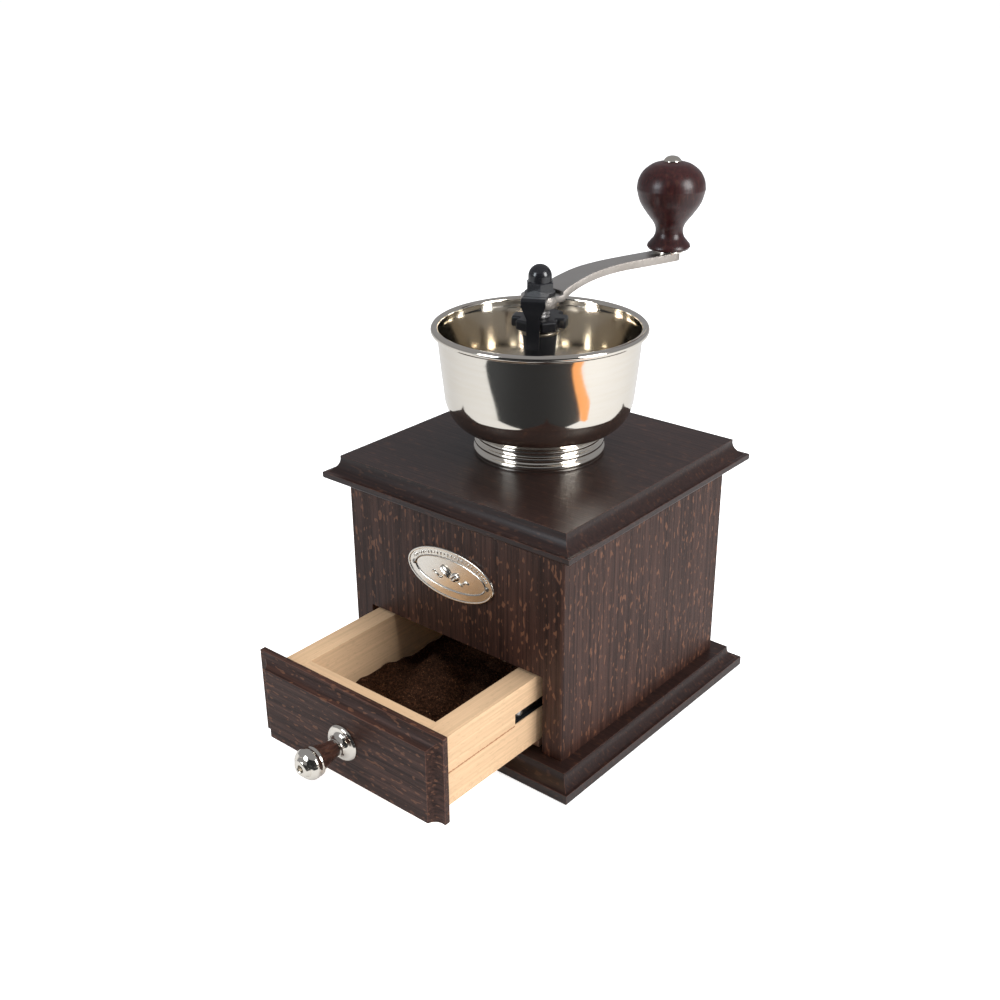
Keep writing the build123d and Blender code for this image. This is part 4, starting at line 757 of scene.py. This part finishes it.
class MILL_OT_pull(bpy.types.Operator):
    """Turns the drawer pull: nickel rosette, dark wooden stem and nickel cap"""

    bl_idname = "mill.pull"
    bl_label = "Turn the pull"

    def execute(self, context):
        low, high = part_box("pull_rosette")
        foot = (0, high.y, (low.z + high.z) / 2)
        plate = nickel("pull_nickel", 0.08)
        bore = 1.65
        rosette = [(bore, 0), (7.35, 0), (7.4, 0.5), (7.05, 1.05)]
        rosette += curve_through([(6.6, 1.35), (5.4, 1.6), (4.3, 2.3), (3.75, 3.4), (3.6, 4.2)], 5)
        rosette += [(3.75, 4.4), (3.6, 4.6), (bore, 4.6)]
        stem = [(bore, 4.6), (3.3, 4.6)]
        stem += curve_through([(3.35, 4.9), (3.8, 8.0), (4.6, 11.2), (5.35, 13.8)], 5)
        stem += [(5.35, 14.0), (bore, 14.0)]
        cap = [(bore, 14.0), (5.6, 14.0), (6.0, 14.3), (6.1, 15.0), (5.95, 15.4), (6.0, 15.8)]
        cap += curve_through([(6.2, 16.6), (6.1, 17.8), (5.3, 19.1), (4.3, 19.8)], 5)
        cap += [(4.0, 19.7), (3.75, 19.95)]
        cap += curve_through([(3.6, 20.4), (3.2, 20.95), (2.4, 21.25), (1.7, 21.3)], 4)
        cap += [(1.45, 21.1), (1.4, 19.9), (0.0, 19.85), (0.0, 18.6), (bore, 18.6)]
        lacquer = stained("pull_lacquer", GRAIN_Y, rough=0.28, coat=0.7, fleck_amount=0.1)
        for name, outline, material, slot, node in (
                ("pull_flange", rosette, plate, "nickel_trim", "pull_rosette"),
                ("pull_wood", stem, lacquer, "turned_wood", "pull_stem"),
                ("pull_end", cap, plate, "nickel_trim", "pull_cap")):
            piece = turned(name, [(r * MM, h * MM) for r, h in outline], foot, (0, -1, 0), 72)
            smooth(piece, 35)
            dress(piece, material)
            seat(piece, "drawer", slot, node)
        return {"FINISHED"}


# ---- Coffee ----

def coffee_material():
    """Dark brown grounds with lighter chips of skin."""
    material, tree, shader, coords = start_material("coffee_grounds")
    fine = noise(tree, coords, 2400.0, 2)
    grit = noise(tree, coords, 900.0, 3, 0.6)
    chips = noise(tree, coords, 1500.0, 1)
    base = bpy.context.scene.mill_finish.coffee
    colour = mixed(tree, span(tree, fine, 0.35, 0.65), rgba(tuple(c * 0.35 for c in base)), rgba(base))
    colour = mixed(tree, span(tree, grit, 0.5, 0.7), colour, rgba(tuple(c * 2.2 for c in base)))
    colour = mixed(tree, span(tree, chips, 0.7, 0.74), colour, (0.22, 0.11, 0.05, 1))
    tree.links.new(colour, shader.inputs["Base Color"])
    tree.links.new(span(tree, grit, 0.3, 0.7, 0.95, 0.7), shader.inputs["Roughness"])
    shader.inputs["Specular IOR Level"].default_value = 0.12
    bump = put(tree, "Bump", {"Strength": 0.8, "Distance": 0.0006, "Height": grit})
    tree.links.new(bump.outputs["Normal"], shader.inputs["Normal"])
    return material


class MILL_OT_coffee(bpy.types.Operator):
    """Heaps the ground coffee in the drawer, with loose grains over it"""

    bl_idname = "mill.coffee"
    bl_label = "Heap the coffee"

    def execute(self, context):
        low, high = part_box("ground_coffee")
        chance = random.Random(7)
        across, along = 84, 100
        clear_selection()
        bpy.ops.mesh.primitive_grid_add(x_subdivisions=across, y_subdivisions=along, size=1,
                                        location=((low.x + high.x) / 2, (low.y + high.y) / 2, 0))
        sheet = bpy.context.object
        sheet.scale = (high.x - low.x, high.y - low.y, 1)
        heap = named("coffee_heap")
        peak = Vector((-3 * MM, (low.y + high.y) / 2))
        waves = [(chance.uniform(180, 900), chance.uniform(0, 2 * pi), chance.uniform(0, 2 * pi))
                 for _ in range(14)]

        def level(x, y):
            """Height of the coffee's surface over a point of the drawer's bottom."""
            far = (Vector((x, y)) - peak).length / HEAP_RADIUS
            cone = max(0.0, 1 - far ** 1.6) * HEAP_HEIGHT
            ripple = sum(sin(x * f * cos(a) + y * f * sin(a) + p) / f for f, a, p in waves)
            return min(low.z + COFFEE_DEPTH + cone + ripple * 0.16, high.z - 0.5 * MM)

        rim = 0.3 * MM
        for vertex in heap.data.vertices:
            x, y = vertex.co.x, vertex.co.y
            inside = abs(x) < high.x - rim and low.y + rim < y < high.y - rim
            vertex.co.z = level(x, y) + (chance.uniform(-0.28, 0.28) * MM if inside else 0)
        pick(heap)
        bpy.ops.object.mode_set(mode="EDIT")
        bpy.ops.mesh.select_all(action="SELECT")
        bpy.ops.mesh.extrude_region_move(TRANSFORM_OT_translate={"value": (0, 0, 0)})
        bpy.ops.object.mode_set(mode="OBJECT")
        for vertex in heap.data.vertices:
            if vertex.select:
                vertex.co.z = low.z
        tidy(heap, 1e-7)
        smooth(heap, 60)
        grounds = coffee_material()
        dress(heap, grounds)
        seat(heap, "drawer", "coffee", "ground_coffee")

        count = context.scene.mill_finish.grains
        if not count:
            return {"FINISHED"}
        clear_selection()
        bpy.ops.mesh.primitive_ico_sphere_add(subdivisions=1, radius=1, calc_uvs=False, location=(0, 0, 0))
        grains = named("coffee_grains")
        corners = len(grains.data.vertices)
        copies = grains.modifiers.new("Grains", "ARRAY")
        copies.count = count
        apply_all(grains)
        shape = [vertex.co.copy() for vertex in grains.data.vertices[:corners]]
        margin = 1.2 * MM
        for k in range(count):
            x = chance.uniform(low.x + margin, high.x - margin)
            y = chance.uniform(low.y + margin, high.y - margin)
            size = chance.uniform(0.28, 0.62) * MM
            turn = Matrix.Rotation(chance.uniform(0, pi), 3, Vector([chance.gauss(0, 1) for _ in range(3)]))
            squeeze = Vector((chance.uniform(0.6, 1.2), chance.uniform(0.5, 1.0), chance.uniform(0.4, 0.8)))
            centre = Vector((x, y, min(level(x, y) + size * 0.25, high.z - size)))
            for vertex, corner in zip(grains.data.vertices[k * corners:(k + 1) * corners], shape):
                lumpy = corner * chance.uniform(0.8, 1.15)
                vertex.co = centre + turn @ Vector(a * b for a, b in zip(lumpy, squeeze)) * size
        dress(grains, grounds)
        seat(grains, "drawer", "coffee")
        return {"FINISHED"}


# ---- Stage ----

def aimed(name, place, target, **settings):
    """A soft rectangular lamp at a place, facing a target."""
    lamp = bpy.data.lights.new(name, "AREA")
    lamp.shape = "RECTANGLE"
    for key, value in settings.items():
        setattr(lamp, key, value)
    thing = bpy.data.objects.new(name, lamp)
    bpy.context.collection.objects.link(thing)
    thing.location = place
    thing.rotation_euler = (Vector(target) - Vector(place)).to_track_quat("-Z", "Y").to_euler()
    return thing


def card(name, corners, material):
    """A card seen only in polished surfaces; corners are (right, toward the camera, up) in metres."""
    toward = Vector((CAMERA_PLACE[0], CAMERA_PLACE[1])).normalized()
    clear_selection()
    bpy.ops.mesh.primitive_circle_add(vertices=4, radius=1, fill_type="NGON")
    sheet = named(name)
    for vertex, (side, ahead, up) in zip(sheet.data.vertices, corners):
        vertex.co = (toward.x * ahead - toward.y * side, toward.y * ahead + toward.x * side, up + 1.5 * MM)
    dress(sheet, material)
    sheet.visible_camera = sheet.visible_shadow = sheet.visible_diffuse = False


def plain(name, colour, glow=0.0):
    """A plain stage material."""
    material, tree, shader, coords = start_material(name)
    uneven = span(tree, noise(tree, coords, 3.0), 0.3, 0.7)
    tone = mixed(tree, uneven, rgba(colour), rgba([c * 0.985 for c in colour]))
    if glow:
        rays = put(tree, "LightPath").outputs
        strength = span(tree, rays["Is Camera Ray"], 0, 1, glow * 0.35, glow)
        tree.links.new(strength, shader.inputs["Emission Strength"])
        tone = mixed(tree, rays["Is Glossy Ray"], tone, rgba([c * 0.6 for c in colour]))
    tree.links.new(tone, shader.inputs["Base Color"])
    tree.links.new(tone, shader.inputs["Emission Color"])
    shader.inputs["Roughness"].default_value = 0.8
    return material


class MILL_OT_stage(bpy.types.Operator):
    """Sets out the pale floor, the soft lights and the camera"""

    bl_idname = "mill.stage"
    bl_label = "Set the stage"

    def execute(self, context):
        scene = context.scene
        clear_selection()
        bpy.ops.mesh.primitive_plane_add(size=40, location=(0, 0, 0))
        floor = named("floor")
        dress(floor, plain("pale_floor", (0.9, 0.9, 0.9), glow=0.86))

        top = aimed("top_light", (0.15, 0.25, 1.25), (0, 0, 0.05), size=1.2, size_y=1.2, energy=14)
        top.visible_glossy = False
        aimed("left_light", (-0.34, -1.1, 0.56), (0, 0, 0.12), size=0.42, size_y=0.6, energy=6,
              color=(0.86, 0.93, 1.0))
        aimed("right_light", (1.15, 0.12, 0.6), (0, 0, 0.12), size=0.55, size_y=0.7, energy=13)
        cloth = plain("dark_cloth", (0.006, 0.006, 0.007))
        card("dark_card", ((-0.5, 0.17, 0), (0.19, 0.17, 0), (0.19, 0.95, 0), (-0.9, 0.95, 0)), cloth)
        card("dark_room", ((-1.0, 1.0, 0), (1.0, 1.0, 0), (1.0, 1.1, 0.9), (-1.0, 1.1, 0.9)), cloth)
        card("warm_card", ((0.19, 0.14, 0), (0.24, 0.14, 0), (0.24, 0.5, 0), (0.19, 0.5, 0)),
             plain("warm_cloth", (0.75, 0.30, 0.08)))

        world = bpy.data.worlds.new("soft_room")
        scene.world = world
        world.use_nodes = True
        world.node_tree.nodes["Background"].inputs["Color"].default_value = (0.94, 0.95, 1.0, 1)
        world.node_tree.nodes["Background"].inputs["Strength"].default_value = 0.3
        scene.view_settings.view_transform = "Standard"
        scene.view_settings.look = "None"

        level = cos(CAMERA_PITCH)
        forward = Vector((-sin(CAMERA_HEADING) * level, cos(CAMERA_HEADING) * level, -sin(CAMERA_PITCH)))
        right = Vector((cos(CAMERA_HEADING), sin(CAMERA_HEADING), 0))
        above = right.cross(forward)
        side = cos(CAMERA_ROLL) * right + sin(CAMERA_ROLL) * above
        rise = -sin(CAMERA_ROLL) * right + cos(CAMERA_ROLL) * above
        lens = bpy.data.cameras.new("camera")
        lens.sensor_width, lens.lens = CAMERA_SENSOR, CAMERA_LENS
        lens.shift_x, lens.shift_y = CAMERA_SHIFT
        lens.clip_start = 0.01
        camera = bpy.data.objects.new("camera", lens)
        context.collection.objects.link(camera)
        turn = Matrix((side, rise, -forward)).transposed().to_4x4()
        camera.matrix_world = Matrix.Translation(CAMERA_PLACE) @ turn
        scene.camera = camera
        return {"FINISHED"}


class MILL_PT_panel(bpy.types.Panel):
    """The mill's steps and finish settings"""

    bl_idname = "MILL_PT_panel"
    bl_label = "Coffee mill"
    bl_space_type = "VIEW_3D"
    bl_region_type = "UI"
    bl_category = "Coffee mill"

    def draw(self, context):
        finish = context.scene.mill_finish
        for key in finish.__annotations__:
            self.layout.prop(finish, key)
        for step in STEPS:
            self.layout.operator(step.bl_idname)


STEPS = (MILL_OT_case, MILL_OT_badge, MILL_OT_bowl, MILL_OT_bearing, MILL_OT_crank, MILL_OT_knob,
         MILL_OT_drawer, MILL_OT_pull, MILL_OT_coffee, MILL_OT_stage)


def register():
    for kind in (MillFinish, *STEPS, MILL_PT_panel):
        bpy.utils.register_class(kind)
    bpy.types.Scene.mill_finish = bpy.props.PointerProperty(type=MillFinish)


def unregister():
    del bpy.types.Scene.mill_finish
    for kind in reversed((MillFinish, *STEPS, MILL_PT_panel)):
        bpy.utils.unregister_class(kind)


def main():
    register()
    for step in STEPS:
        group, action = step.bl_idname.split(".")
        getattr(getattr(bpy.ops, group), action)()


if __name__ == "__main__":
    main()
